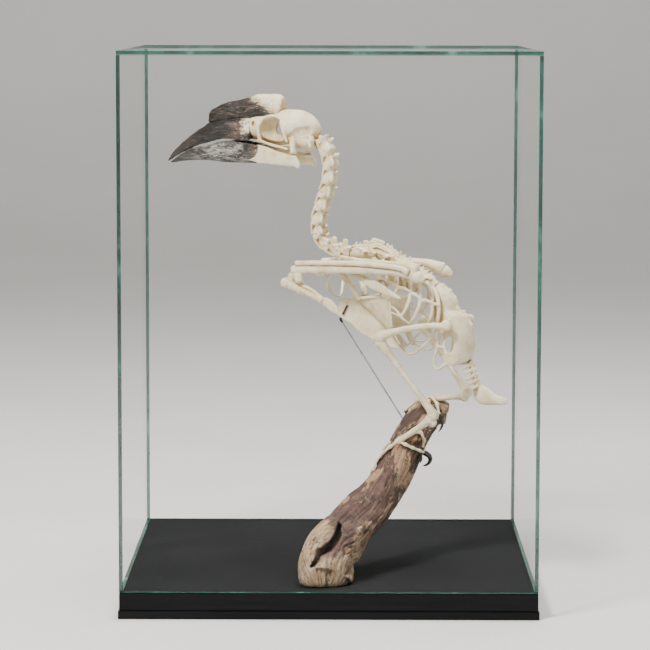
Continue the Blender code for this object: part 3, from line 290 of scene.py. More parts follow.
def lower_beak():
    """Lower sheath: silver-grey horn with a dark lower edge and tip, pale chips along its cracks, and a near-black
    patch of painted shade at its rear.
    """
    g = Graph("lower_beak_look")
    place = g.bird()
    u = g.axis(place, "X")
    z = g.axis(place, "Z")
    broad, narrow = horn_streaks(g, place)
    silver = g.ramp(broad, (0.38, (0.014, 0.01, 0.008)), (0.48, (0.085, 0.07, 0.06)), (0.6, (0.36, 0.34, 0.315)))
    colour = g.mix(g.spread(narrow, 0.54, 0.61, 0, 0.92), silver, (0.012, 0.009, 0.008))
    colour = g.mix(g.spread(narrow, 0.47, 0.4, 0, 0.75), colour, (0.56, 0.54, 0.5))
    edge = g.plus(z, g.spread(broad, 0.3, 0.7, -3, 3))
    low = g.math("MAXIMUM", g.spread(edge, 371.5, 368.5), g.spread(edge, 383, 386))
    colour = g.mix(g.times(low, 0.8), colour, (0.03, 0.022, 0.018))
    tip = g.spread(u, 150, 174)
    colour = g.mix(g.times(tip, 0.85), colour, (0.034, 0.026, 0.022))
    rust = g.times(g.spread(u, 109, 104), g.spread(g.cloud(place, 0.35, 4), 0.45, 0.56))
    colour = g.mix(g.times(rust, 0.9), colour, (0.13, 0.05, 0.018))
    chips = g.times(g.band(u, 118, 145, 5), g.spread(g.cloud(place, 0.4, 4), 0.62, 0.7))
    colour = g.mix(g.times(chips, 0.7), colour, (0.66, 0.6, 0.5))
    # painted shade: a near-black patch at the sheath's rear, for the shaded inside of a pit
    pit_painted_shade = g.times(g.band(u, 107.4, 113.4, 0.9), g.band(z, 377.4, 385.4, 1.2))
    colour = g.mix(g.times(pit_painted_shade, 0.92), colour, (0.012, 0.01, 0.01))
    height = g.plus(narrow, broad)
    g.finish(colour, g.spread(narrow, 0.3, 0.7, 0.4, 0.62), height, 0.5, 0.8)


def casque():
    """Casque: ivory at the rear and along its top, with the bone's painted shade and painted highlight, brown-black
    streaks towards its front.
    """
    g = Graph("casque_look")
    place = g.bird()
    u = g.axis(place, "X")
    z = g.axis(place, "Z")
    # ivory is the bone's colour with its painted shade and painted highlight
    ivory = bone_colour_with_painted_light(g, place)[0]
    broad, narrow = horn_streaks(g, place)
    dark = g.ramp(broad, (0.42, (0.005, 0.003, 0.002)), (0.55, (0.021, 0.012, 0.008)), (0.67, (0.14, 0.088, 0.058)))
    dark = g.mix(g.spread(narrow, 0.55, 0.68, 0, 0.55), dark, (0.28, 0.21, 0.155))
    dark = g.mix(g.spread(narrow, 0.44, 0.37, 0, 0.85), dark, (0.008, 0.006, 0.005))
    line = g.plus(u, g.times(g.math("SUBTRACT", z, 418), -1.7))
    line = g.plus(line, g.spread(narrow, 0.3, 0.7, -11, 11))
    tan = g.mix(g.spread(line, 88, 100, 0, 0.8), ivory, (0.5, 0.33, 0.18))
    speck = g.times(g.spread(u, 84, 92), g.spread(g.cloud(place, 0.4, 4, 0.6), 0.55, 0.62))
    tan = g.mix(g.times(speck, 0.7), tan, (0.24, 0.13, 0.06))
    colour = g.mix(g.spread(line, 94, 101), tan, dark)
    height = g.plus(narrow, g.times(broad, 0.6))
    g.finish(colour, g.spread(narrow, 0.3, 0.7, 0.42, 0.62), height, 0.4, 0.7)


def claws():
    g = Graph("claw_look")
    place = g.room()
    fine = g.cloud(place, 0.8, 5, 0.6)
    colour = g.ramp(fine, (0.35, (0.01, 0.009, 0.008)), (0.6, (0.032, 0.027, 0.023)), (0.8, (0.1, 0.08, 0.065)))
    g.finish(colour, g.spread(fine, 0.3, 0.7, 0.22, 0.42), fine, 0.15, 0.5)


def driftwood():
    """Driftwood: brown bark with furrows darkened by painted shade, bare tan strips, and weathered pale ends; painted
    shade where it is hidden from the light and a painted highlight on its ridges.
    """
    g = Graph("driftwood_look")
    grain = g.mark("grain", "Vector")
    place = g.room()
    z = g.axis(place, "Z")
    strips = g.cloud(g.stretch(grain, (0.34, 0.5, 0.5), (4.2, 1.3, 0.4)), 1, 6, 0.58, 0.5)
    fibres = g.cloud(g.stretch(grain, (0.5, 5, 5)), 2.2, 5, 0.65, 0.3)
    patch = g.cloud(grain, 1.1, 6, 0.62, 0.4)
    bark = g.ramp(patch, (0.34, (0.034, 0.018, 0.013)), (0.5, (0.096, 0.051, 0.037)), (0.66, (0.19, 0.112, 0.082)))
    bark = g.mix(g.spread(fibres, 0.5, 0.75, 0, 0.3), bark, (0.25, 0.16, 0.12))
    wine = g.spread(g.cloud(place, 0.035, 3), 0.5, 0.62, 0, 0.55)
    bark = g.mix(wine, bark, (0.105, 0.042, 0.036))
    bark = g.mix(g.spread(z, 112, 134, 0, 0.6), bark, (0.048, 0.026, 0.018))
    bare = g.ramp(fibres, (0.3, (0.2, 0.1, 0.05)), (0.5, (0.38, 0.23, 0.13)), (0.72, (0.54, 0.37, 0.23)))
    colour = g.mix(g.spread(strips, 0.518, 0.552), bark, bare)
    crust = g.spread(g.cloud(g.stretch(grain, (0.55, 0.75, 0.75), (1, 5, 2)), 1, 7, 0.66), 0.6, 0.625)
    pale = g.ramp(fibres, (0.3, (0.14, 0.078, 0.04)), (0.5, (0.37, 0.25, 0.14)), (0.75, (0.61, 0.49, 0.33)))
    pale = g.mix(g.spread(patch, 0.46, 0.62, 0, 0.45), pale, (0.58, 0.5, 0.39))
    pale = g.mix(g.spread(g.cloud(place, 0.12, 5, 0.6, 0.5), 0.51, 0.61, 0, 0.62), pale, (0.2, 0.105, 0.052))
    colour = g.mix(crust, colour, pale)
    rot = g.spread(g.cloud(g.stretch(grain, (0.7, 0.9, 0.9), (9, 2, 7)), 1, 7, 0.7), 0.585, 0.61)
    colour = g.mix(g.times(rot, 0.85), colour, (0.045, 0.022, 0.016))
    wander = g.spread(patch, 0.3, 0.7, -7, 7)
    high = g.add("VectorMath", {0: place, 1: (0.75, 0, 0.66)}, "Value", operation="DOT_PRODUCT")
    end = g.math("MAXIMUM", g.spread(g.plus(high, wander), 169, 172),
                 g.spread(g.plus(z, wander), 52, 45, 0, 0.92))
    lobe = g.add("VectorMath", {0: place, 1: (-0.85, 0, 0.53)}, "Value", operation="DOT_PRODUCT")
    lobe = g.times(g.spread(g.plus(lobe, g.times(wander, 0.6)), 30.5, 33.5), 0.8)
    colour = g.mix(g.times(lobe, g.spread(g.plus(z, wander), 72, 64)), colour, pale)
    colour = g.mix(end, colour, pale)
    crack = g.band(g.cloud(g.stretch(grain, (0.2, 1.2, 1.2), (2, 0, 3)), 1, 3), 0.49, 0.505, 0.006)
    colour = g.mix(g.times(crack, g.spread(z, 92, 70, 0, 0.8)), colour, (0.04, 0.022, 0.014))
    # painted shade: darker where the bark is hollow, in its furrows
    furrow = g.spread(g.mark("cavity"), 0.05, 0.8, 0, 0.8)
    colour = g.mix(furrow, colour, (0.03, 0.017, 0.012))
    # painted highlight: lighter on proud ridges
    ridge_painted_highlight = g.spread(g.mark("cavity"), -0.7, -0.15, 0.2, 0)
    colour = g.mix(ridge_painted_highlight, colour, (0.42, 0.29, 0.19))
    # painted shade: darker where the surface is hidden from the light
    shade = g.add("AmbientOcclusion", {"Distance": 9 * MM}, "AO", samples=5)
    colour = g.mix(g.spread(shade, 0.3, 0.85, 0.9, 0), colour, (0.02, 0.011, 0.007))
    height = g.plus(fibres, g.times(patch, 0.7))
    g.finish(colour, g.spread(patch, 0.3, 0.7, 0.62, 0.88), height, 0.9, 0.8)


PLAIN = {  # noise's stretch, detail and bump, dark and light colour, range of roughness, and sheen
    # sides: a darker black than the top, painted shade beside a real glossy finish
    "base_side_look":
        ((0.02, 0.02, 0.3), 5, (0.03, 0.1), (0.003, 0.003, 0.004), (0.006, 0.006, 0.007), (0.12, 0.24), 0.1),
    "steel_look": ((0.3, 0.3, 0.3), 4, (0.05, 0.3), (0.36, 0.36, 0.38), (0.52, 0.52, 0.55), (0.34, 0.5), 0.5),
    "clip_look": ((1.2, 1.2, 1.2), 4, (0.1, 0.4), (0.008, 0.008, 0.009), (0.02, 0.02, 0.022), (0.4, 0.6), 0.5),
    "floor_look": ((0.004, 0.004, 0.004), 5, None, (0.7, 0.685, 0.655), (0.74, 0.725, 0.7), (0.55, 0.7), 0.5),
}


def case_materials():
    """Black base, with painted light making its top a lighter black than its glossy sides, steel rod, black clip, pale
    floor, and clear panes with green edges that carry painted highlights.
    """
    for name, (stretch, detail, bump, dark, light, rough, sheen) in PLAIN.items():
        g = Graph(name, metallic=1 if name == "steel_look" else 0)
        spots = g.cloud(g.stretch(g.room(), stretch), 1, detail, 0.6)
        g.shader.inputs["Specular IOR Level"].default_value = sheen
        relief = (spots, *bump) if bump else ()
        g.finish(g.ramp(spots, (0.3, dark), (0.7, light)), g.spread(spots, 0.3, 0.7, *rough), *relief)
    # top: a lighter black than the sides, painted light beside a real satin finish
    g = Graph("base_top_look")
    place = g.room()
    dust = g.cloud(place, 0.02, 6, 0.6)
    colour = g.ramp(dust, (0.3, (0.01, 0.01, 0.011)), (0.7, (0.018, 0.018, 0.019)))
    g.shader.inputs["Specular IOR Level"].default_value = 0.05
    g.finish(colour, g.spread(dust, 0.3, 0.7, 0.62, 0.76), g.cloud(place, 1.5, 3, 0.6), 0.05, 0.25)
    g = Graph("glass_look")
    smear = g.cloud(g.room(), 0.015, 3, 0.5)
    g.shader.inputs["Specular IOR Level"].default_value = 0.12
    facing = g.add("LayerWeight", {"Blend": 0.3}, "Fresnel")
    g.put(g.shader.inputs["Alpha"], g.spread(facing, 0.05, 1, 0.005, 0.14))
    g.finish(g.ramp(smear, (0.3, (0.16, 0.27, 0.22)), (0.7, (0.2, 0.31, 0.26))), g.spread(smear, 0.3, 0.7, 0, 0.03))
    g = Graph("glass_edge_look", 0.12)
    edge_tone_and_painted_highlight = g.cloud(g.stretch(g.room(), (0.05, 0.05, 0.02)), 1, 3, 0.6)
    g.shader.inputs["Alpha"].default_value = 0.9
    # dark green edge colour, with painted highlights at the ramp's bright end
    g.finish(g.ramp(edge_tone_and_painted_highlight, (0.35, (0.004, 0.04, 0.03)), (0.6, (0.012, 0.1, 0.075)), (0.8, (0.18, 0.42, 0.34))))


def make_materials():
    for make in (bone, beak, lower_beak, casque, claws, driftwood, case_materials):
        make()


def mesh_object(bm, frame=BIRD):
    """Object from a mesh in millimetres, set into the case by its frame."""
    bmesh.ops.recalc_face_normals(bm, faces=bm.faces)
    bmesh.ops.transform(bm, matrix=frame @ Matrix.Scale(MM, 4), verts=bm.verts)
    mesh = bpy.data.meshes.new("piece")
    bm.to_mesh(mesh)
    bm.free()
    return bpy.data.objects.new("piece", mesh)


def flow(stations, steps, closed=False):
    """Smooth curve through stations of any number of values."""
    keys = [Vector(station) for station in stations]
    count = len(keys)
    last = count if closed else count - 1
    out = []
    for i in range(last):
        if closed:
            a, b, c, d = keys[i - 1], keys[i], keys[(i + 1) % count], keys[(i + 2) % count]
        else:
            a, b, c, d = keys[max(i - 1, 0)], keys[i], keys[i + 1], keys[min(i + 2, last)]
        for k in range(steps):
            t = k / steps
            bend = (2 * a - 5 * b + 4 * c - d) * t * t + (3 * b - a - 3 * c + d) * t ** 3
            out.append(0.5 * (2 * b + (c - a) * t + bend))
    if not closed:
        out.append(keys[-1])
    return out


def skin(rings, frame=BIRD):
    """Closed body over equal rings of points."""
    bm = bmesh.new()
    rows = [[bm.verts.new(point) for point in ring] for ring in rings]
    count = len(rings[0])
    for low, high in zip(rows, rows[1:]):
        for i in range(count):
            j = (i + 1) % count
            bm.faces.new((low[i], low[j], high[j], high[i]))
    bm.faces.new(rows[0])
    bm.faces.new(rows[-1][::-1])
    return mesh_object(bm, frame)


def oval_ring(centre, along, across, width, depth, sides):
    """Ellipse square to a direction, its width laid along the across direction."""
    wide = (across - across.dot(along) * along).normalized()
    deep = along.cross(wide)
    ring = []
    for i in range(sides):
        angle = 2 * pi * (i + 0.5) / sides
        ring.append(centre + wide * (width * cos(angle)) + deep * (depth * sin(angle)))
    return ring


CAP_ANGLES = (radians(28), radians(52), radians(74))


def rod(stations, sides=12, steps=FINE, across=ACROSS, frame=BIRD, blunt=0.55):
    """Bone shaft: each station is x, y, z, half width and, where it is oval, half depth."""
    full = [(*s, s[3]) if len(s) == 4 else s for s in stations]
    line = flow(full, steps)
    points = [Vector(s[:3]) for s in line]
    rings = []
    for i, s in enumerate(line):
        along = (points[min(i + 1, len(points) - 1)] - points[max(i - 1, 0)]).normalized()
        rings.append(oval_ring(points[i], along, across, max(s[3], 0.3), max(s[4], 0.3), sides))
    for end, inner in ((0, 1), (-1, -2)) if blunt else ():
        out = (points[end] - points[inner]).normalized()
        reach = 1.25 * blunt * min(line[end][3], line[end][4])
        edge = list(rings[end])
        for angle in CAP_ANGLES:
            centre = points[end] + out * (reach * sin(angle))
            cap = [centre + (point - points[end]) * cos(angle) for point in edge]
            if end == 0:
                rings.insert(0, cap)
            else:
                rings.append(cap)
    return skin(rings, frame)


def profile(sections):
    """Stations of a body whose sections are given by top, bottom and half width along u."""
    return [(u, 0, (top + low) / 2, w, (top - low) / 2) for u, top, low, w in sections]


def place_in(bm, centre, size):
    bmesh.ops.transform(bm, matrix=Matrix.Translation(centre) @ Matrix.Diagonal((*size, 1)), verts=bm.verts)


def ball(centre, radii, segments=24, rings=18, frame=BIRD):
    bm = bmesh.new()
    bmesh.ops.create_uvsphere(bm, u_segments=segments, v_segments=rings, radius=1)
    place_in(bm, centre, radii)
    return mesh_object(bm, frame)


def box(centre, sides, round_off=0):
    """Box in the case's frame, with finely rounded edges where it has a round-off."""
    bm = bmesh.new()
    bmesh.ops.create_cube(bm, size=1)
    place_in(bm, centre, sides)
    if round_off:
        bmesh.ops.bevel(bm, geom=bm.edges[:], offset=round_off, segments=3, profile=0.5, affect="EDGES")
    return mesh_object(bm, ROOM)


def plate(outline, low, high):
    """Flat bone: an outline of u, z points, thick from v = low to v = high."""
    if len(outline) > 6:
        outline = [tuple(point) for point in flow(outline, FINE, closed=True)]
    rings = [[Vector((u, v, z)) for u, z in outline] for v in (low, high)]
    return skin(rings)


def arch(u, crown, edge, width, hollow):
    """Bill section: a vault from its crown to both edges, closed by a hollow underside."""
    points = []
    for i in range(33):
        angle = pi * i / 32
        points.append(Vector((u, width * cos(angle), edge + (crown - edge) * abs(sin(angle)) ** 0.8)))
    for share in (-0.8, -0.5, 0, 0.5, 0.8):
        lift = hollow * (crown - edge) * (1 - share * share)
        points.append(Vector((u, width * share, edge + lift)))
    return points


def vault(stations, hollow):
    """Bill half: stations of u, crown, edge and half width."""
    return skin([arch(*s, hollow) for s in flow(stations, 2 * FINE)])


def sheet(rows, thickness, dropped=()):
    """Curved plate: rows of points skinned to a surface and thickened; dropped cells stay open."""
    rows = [flow(row, FINE) for row in rows]
    columns = [flow([row[j] for row in rows], FINE) for j in range(len(rows[0]))]
    bm = bmesh.new()
    grid = [[bm.verts.new(column[i]) for column in columns] for i in range(len(columns[0]))]
    for i in range(len(grid) - 1):
        for j in range(len(grid[0]) - 1):
            if (i // FINE, j // FINE) not in dropped:
                bm.faces.new((grid[i][j], grid[i + 1][j], grid[i + 1][j + 1], grid[i][j + 1]))
    loose = [vert for vert in bm.verts if not vert.link_faces]
    bmesh.ops.delete(bm, geom=loose, context="VERTS")
    bmesh.ops.triangulate(bm, faces=bm.faces)
    piece = mesh_object(bm)
    thicken = piece.modifiers.new("thickness", "SOLIDIFY")
    thicken.thickness = thickness * MM
    thicken.offset = 0
    bpy.context.scene.collection.objects.link(piece)
    bake(piece)
    bpy.context.scene.collection.objects.unlink(piece)
    return piece


def bake(thing):
    """Replaces an object's mesh by what its modifiers make of it."""
    graph = bpy.context.evaluated_depsgraph_get()
    mesh = bpy.data.meshes.new_from_object(thing.evaluated_get(graph))
    thing.modifiers.clear()
    thing.data = mesh


def combine(target, others, operation):
    """One Boolean of a piece with a group of closed pieces, which are used up."""
    group = bpy.data.collections.new("pieces")
    bpy.context.scene.collection.children.link(group)
    for piece in others:
        group.objects.link(piece)
    modifier = target.modifiers.new("combine", "BOOLEAN")
    modifier.operation = operation
    modifier.operand_type = "COLLECTION"
    modifier.collection = group
    modifier.solver = "MANIFOLD"
    bake(target)
    for piece in others:
        bpy.data.objects.remove(piece)
    bpy.data.collections.remove(group)


class Net:
    """Points and edges of a mesh as arrays, for smoothing."""

    def __init__(self, mesh):
        self.mesh = mesh
        self.count = len(mesh.vertices)
        flat = np.empty(self.count * 3)
        mesh.vertices.foreach_get("co", flat)
        self.co = flat.reshape(-1, 3)
        pairs = np.empty(len(mesh.edges) * 2, np.int32)
        mesh.edges.foreach_get("vertices", pairs)
        self.a, self.b = pairs.reshape(-1, 2).T
        self.valence = np.bincount(self.a, minlength=self.count) + np.bincount(self.b, minlength=self.count)

    def mean(self, values):
        out = np.empty_like(values)
        for k in range(values.shape[1]):
            out[:, k] = np.bincount(self.a, values[self.b, k], self.count)
            out[:, k] += np.bincount(self.b, values[self.a, k], self.count)
        return out / self.valence[:, None]

    def relax(self, passes):
        """Smooths without shrinking."""
        for _ in range(passes):
            self.co += 0.5 * (self.mean(self.co) - self.co)
            self.co -= 0.53 * (self.mean(self.co) - self.co)

    def store(self):
        self.mesh.vertices.foreach_set("co", self.co.ravel())
        self.mesh.update()

    def normals(self):
        flat = np.empty(self.count * 3)
        self.mesh.vertex_normals.foreach_get("vector", flat)
        return flat.reshape(-1, 3)

    def cavity(self, passes, size):
        """Marks each point by how hollow (1) or proud (-1) the surface is round it."""
        far = self.co.copy()
        for _ in range(passes):
            far += 0.6 * (self.mean(far) - far)
        depth = ((far - self.co) * self.normals()).sum(1) / (size * MM)
        mark = self.mesh.attributes.new("cavity", "FLOAT", "POINT")
        mark.data.foreach_set("value", np.clip(depth, -1, 1).astype(np.float32))


def keep_largest(thing):
    """Drops all but the closed surface with the most points."""
    net = Net(thing.data)
    label = np.arange(net.count)
    while True:
        new = label.copy()
        np.minimum.at(new, net.a, label[net.b])
        np.minimum.at(new, net.b, label[net.a])
        new = new[new]
        if (new == label).all():
            break
        label = new
    names, sizes = np.unique(label, return_counts=True)
    if len(names) == 1:
        return
    keep = names[sizes.argmax()]
    bm = bmesh.new()
    bm.from_mesh(thing.data)
    bm.verts.ensure_lookup_table()
    bmesh.ops.delete(bm, geom=[bm.verts[i] for i in np.nonzero(label != keep)[0]], context="VERTS")
    bm.to_mesh(thing.data)
    bm.free()


# Sizes of the skins' faces in millimetres
VOXEL = {
    "skull": 0.62, "bill_upper": 0.74, "bill_lower": 0.74, "casque": 0.74, "mandible": 0.64, "pelvis": 0.66,
    "sternum": 0.66, "stand_branch": 0.95, "stand_rod": 0.3, "stand_clip": 0.34,
}
THIN = ("ribs", "furcula", "radius", "foot", "claw", "hand", "tail", "scapula")
THIN_VOXEL = 0.46
BONE_VOXEL = 0.58
RELIEF = 0.24


def bone_relief(place):
    """Small unevenness of a cleaned bone, in millimetres."""
    return RELIEF * noise.noise(place * 0.22) + 0.11 * noise.noise(place * 0.75)


def horn_relief(place):
    """Worn growth ridges that run with the horn, and shallow dents across it."""
    ridges = noise.fractal(Vector((place.x * 0.03, place.y * 0.35, place.z * 0.42)), 0.8, 2, 4)
    dents = noise.fractal(place * 0.11, 0.9, 2, 3)
    return 0.42 * ridges + 0.3 * dents


def carve(thing, relief):
    """Moves each point along its normal by a relief given in the bird's frame."""
    inverse = BIRD.inverted()
    points = thing.data.vertices
    moves = [vert.normal * (relief((inverse @ vert.co) / MM) * MM) for vert in points]
    for vert, move in zip(points, moves):
        vert.co += move


def stand_for(thing, name, looks):
    """Gives a piece its materials, and says which solid it stands for."""
    thing.data.materials.clear()
    for look in looks:
        thing.data.materials.append(MATERIALS[look])
    thing.name = thing.data.name = name + "_look"
    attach(thing, "root")
    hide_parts(name)


def dress(thing, name, finish):
    """Gives a smooth piece its one finish."""
    thing.data.shade_smooth()
    stand_for(thing, name, [finish + "_look"])


def even_skin(body, voxel):
    """One smooth closed skin of even small faces over joined pieces."""
    remesh = body.modifiers.new("remesh", "REMESH")
    remesh.mode = "VOXEL"
    remesh.voxel_size = voxel * MM
    bake(body)
    keep_largest(body)
    net = Net(body.data)
    net.relax(4)
    net.store()
    return net


def node(name, pieces, finish="bone", cutters=(), later=()):
    """Joins pieces into one skin, cuts it, adds what stands in the cuts, then smooths it."""
    body = pieces[0]
    PARTS.objects.link(body)
    if len(pieces) > 1:
        combine(body, pieces[1:], "UNION")
    if cutters:
        combine(body, list(cutters), "DIFFERENCE")
    if later:
        combine(body, list(later), "UNION")
    even_skin(body, VOXEL.get(name, THIN_VOXEL if name.startswith(THIN) else BONE_VOXEL))
    carve(body, horn_relief if finish in ("beak", "lower_beak", "casque") else bone_relief)
    Net(body.data).cavity(9, 0.9)
    dress(body, name, finish)


def sided(stations, side):
    """The same stations on the left (side 1) or the right (side -1)."""
    return [(s[0], s[1] * side, *s[2:]) for s in stations]


def drooped(stations, side, drop, still, end):
    """Stations of one side: those of the right hang lower, by none at one place to the whole drop at another."""
    return [(s[0], s[1] * side, s[2] - (drop * max(0, (s[0] - still) / (end - still)) if side < 0 else 0), *s[3:])
            for s in stations]


def forearm(stations, side):
    return drooped(stations, side, WRIST_DROP, ELBOW_END, WRIST_END)


def upper_arm(stations, side):
    return drooped(stations, side, ELBOW_DROP, SHOULDER_END, ELBOW_END)


def both(stations, **options):
    return [rod(sided(stations, side), **options) for side in (1, -1)]


def case_piece(name, body, looks, choose):
    """Case piece with two finishes; choose tells from a face which one it takes."""
    stand_for(body, name, looks)
    for face in body.data.polygons:
        face.material_index = choose(face)


def make_case():
    """Base of two boards with a groove between them, and five panes."""
    upper = CASE_SIDE - 2 * BASE_STEP
    groove = 0.6
    foot = box((0, 0, BASE_FOOT_HEIGHT / 2), (CASE_SIDE, CASE_SIDE, BASE_FOOT_HEIGHT), 0.5)
    neck = box((0, 0, BASE_FOOT_HEIGHT), (upper - 2 * groove, upper - 2 * groove, 4 * groove))
    low = BASE_FOOT_HEIGHT + groove
    board = box((0, 0, (low + BASE_HEIGHT) / 2), (upper, upper, BASE_HEIGHT - low), 0.5)
    PARTS.objects.link(foot)
    combine(foot, [neck, board], "UNION")
    # The top's faces take the lighter black of base_top_look, which is partly painted light.
    top = (BASE_HEIGHT - 0.2) * MM
    case_piece("stand_base", foot, ("base_side_look", "base_top_look"),
               lambda face: 1 if face.center.z > top and face.normal.z > 0.9 else 0)
    low = BASE_HEIGHT + GAP
    high = CASE_HEIGHT - GLASS - GAP
    middle = (low + high) / 2
    edge = (upper - GLASS) / 2
    inner = upper - 2 * GLASS - 2 * GAP
    panes = {
        "stand_glass_front": ((0, -edge, middle), (upper, GLASS, high - low), 1),
        "stand_glass_back": ((0, edge, middle), (upper, GLASS, high - low), 1),
        "stand_glass_left": ((-edge, 0, middle), (GLASS, inner, high - low), 0),
        "stand_glass_right": ((edge, 0, middle), (GLASS, inner, high - low), 0),
        "stand_glass_top": ((0, 0, CASE_HEIGHT - GLASS / 2), (upper, upper, GLASS), 2),
    }
    for name, (centre, sides, across) in panes.items():
        pane = box(centre, sides, 0.3)
        PARTS.objects.link(pane)
        case_piece(name, pane, ("glass_look", "glass_edge_look"),
                   lambda face: 0 if abs(face.normal[across]) > 0.99 else 1)


# Fineness of the perch's skin, and the steps and sides of its solid, which its swellings follow
PERCH_SIDES = 132
PERCH_STEPS = 10
SOURCE_STEPS = 2
SOURCE_SIDES = 12
GRAIN_BATCH = 4000


def perch_rings():
    """Gnarled rings round the perch's middle line, the same swellings as in its solid."""
    line = flow(PERCH, PERCH_STEPS)
    rings = []
    for i, s in enumerate(line):
        before = Vector(line[max(i - 1, 0)][:3])
        after = Vector(line[min(i + 1, len(line) - 1)][:3])
        along = (after - before).normalized()
        ring = oval_ring(Vector(s[:3]), along, ACROSS, 1, 1, PERCH_SIDES)
        turn = i * SOURCE_STEPS / PERCH_STEPS
        shaped = []
        for k, point in enumerate(ring):
            angle = 2 * pi * (k + 0.5) / PERCH_SIDES - pi / SOURCE_SIDES
            bumps = 1 + 0.07 * sin(3 * angle + 0.7 * turn) + 0.05 * sin(5 * angle - 1.3 * turn)
            outward = point - Vector(s[:3])
            place = Vector(s[:3]) + outward * (s[3] * bumps)
            place.z = max(place.z, BASE_HEIGHT + GAP)
            shaped.append(place)
        rings.append(shaped)
    return rings


def grain_of(points):
    """Place of each point along and round the perch, so that bark and fibres follow its bend."""
    line = np.array([s[:3] for s in flow(PERCH, 24)])
    runs = np.concatenate(([0], np.cumsum(np.linalg.norm(np.diff(line, axis=0), axis=1))))
    ways = np.gradient(line, axis=0)
    ways /= np.linalg.norm(ways, axis=1)[:, None]
    out = np.empty((len(points), 3))
    for start in range(0, len(points), GRAIN_BATCH):
        part = points[start:start + GRAIN_BATCH]
        near = np.linalg.norm(part[:, None, :] - line[None], axis=2).argmin(axis=1)
        way = ways[near]
        wide = np.array((0, 1, 0)) - way * way[:, 1:2]
        wide /= np.linalg.norm(wide, axis=1)[:, None]
        deep = np.cross(way, wide)
        offset = part - line[near]
        along = runs[near] + (offset * way).sum(1)
        angle = np.arctan2((offset * deep).sum(1), (offset * wide).sum(1))
        out[start:start + GRAIN_BATCH] = np.stack((along / 12, 2 * np.cos(angle), 2 * np.sin(angle)), axis=1)
    return out


def bark_relief(grain):
    """Depth of the bark in millimetres: long furrows, a finer weave, shallow dents and cracks."""
    along, c, s = grain
    furrow = noise.fractal(Vector((along * 0.28, c * 1.1, s * 1.1)), 0.8, 2.1, 4)
    weave = noise.fractal(Vector((along * 0.7, c * 3, s * 3)), 0.7, 2.1, 3)
    dent = noise.noise(Vector((along * 0.9, c * 0.9, s * 0.9 + 7)))
    crack = noise.noise(Vector((along * 0.22 + 3, c * 1.7, s * 1.7)))
    split = max(0, 1 - abs(crack) / 0.035)
    return 1.25 * furrow + 0.5 * weave + 0.7 * dent - 1.5 * split


def make_perch():
    """Driftwood: the gnarled stem with its knot and heel, less a hollow, a crevice and a crack."""
    floor = BASE_HEIGHT + GAP
    knot = rod([(-9, -139, floor + 1, 14.5), (-12, -136, 38, 14.5), (-7, -129, 54, 13.5), (4, -118, 69, 9)],
               sides=20, steps=6, frame=ROOM)
    heel = rod([(0, -133, floor - 2, 16.5), (2, -131, 38, 17), (8, -120, 54, 16)], sides=24, steps=6, frame=ROOM)
    under = box((0, -130, floor - 25), (120, 120, 50))
    hollow = ball((-5, -149, 50), (8, 8, 7), frame=ROOM)
    crevice = rod([(10.4, -125, 80, 10, 0.8), (9.2, -128, 72, 12.5, 2.2), (7, -134, 63.4, 12, 3.4),
                   (1, -141, 55.4, 11, 3.6), (-6.6, -147, 50.4, 9.5, 3.2), (-10.6, -150, 44, 8.5, 2.4),
                   (-16, -151, 38.5, 8, 0.8)], sides=16, steps=6, frame=ROOM)
    crack = rod([(2.6, -145, 53, 9, 0.6), (3.6, -148, 43, 8, 0.9), (2, -149, 33, 8, 0.7),
                 (4.6, -149, floor + 1, 8, 0.9)], sides=16, steps=6, frame=ROOM)
    body = skin(perch_rings(), ROOM)
    PARTS.objects.link(body)
    combine(body, [knot, heel], "UNION")
    combine(body, [under, hollow, crevice, crack], "DIFFERENCE")
    net = even_skin(body, VOXEL["stand_branch"])
    grain = grain_of(net.co / MM)
    depth = np.array([bark_relief(row) for row in grain])
    height = net.co[:, 2] / MM - floor
    depth *= np.clip(height / 3, 0, 1)
    net.co += net.normals() * (depth * MM)[:, None]
    net.co[:, 2] = np.maximum(net.co[:, 2], floor * MM)
    net.store()
    net.cavity(7, 1.1)
    mark = body.data.attributes.new("grain", "FLOAT_VECTOR", "POINT")
    mark.data.foreach_set("vector", grain.astype(np.float32).ravel())
    dress(body, "stand_branch", "driftwood")


def make_rod():
    """Thin support rod from the branch up to a clip, whose prongs hold the keel."""
    top = BIRD @ (Vector((23.2, 0, 229.9)) * MM) / MM
    foot = Vector((65.5, -5, 142.5))
    lean = (foot - top).normalized()
    prongs = both([(23.2, 0, 229.9, 1), (21.6, 1.9, 232, 0.8), (15.5, 1.9, 242.5, 0.7)])
    socket = rod([(*top, 1.1), (*(top + lean * 3), 1.1)], sides=16, frame=ROOM)
    node("stand_clip", [socket, *prongs], "clip")
    shaft = rod([(*(top + lean * 2), 0.75), (*foot, 0.75)], sides=16, frame=ROOM)
    node("stand_rod", [shaft], "steel")


# Head

CRANIUM = (
    (45, 398, 388, 3.4), (48, 403.8, 385, 8.4), (53.5, 409.6, 382.4, 13.4), (62, 414.2, 381.5, 17.2),
    (72, 415.2, 383.5, 16.6), (82, 414.6, 385.5, 14.2), (92, 413.6, 386.5, 12.6), (101, 411.8, 387, 12.2),
    (107, 410, 388, 11.8),
)

UPPER_BILL = (
    (107.4, 410.5, 386.6, 13), (118, 409.4, 387, 12.8), (130, 407.8, 388, 12), (143, 405.5, 386.9, 10.4),
    (152, 402.8, 385, 9), (162.5, 396.1, 382.4, 7.2), (171.8, 390.2, 379, 5.5), (182.9, 381.9, 373.8, 3.5),
    (190, 375.7, 369.6, 2.1), (195.9, 367.6, 365.8, 0.7),
)

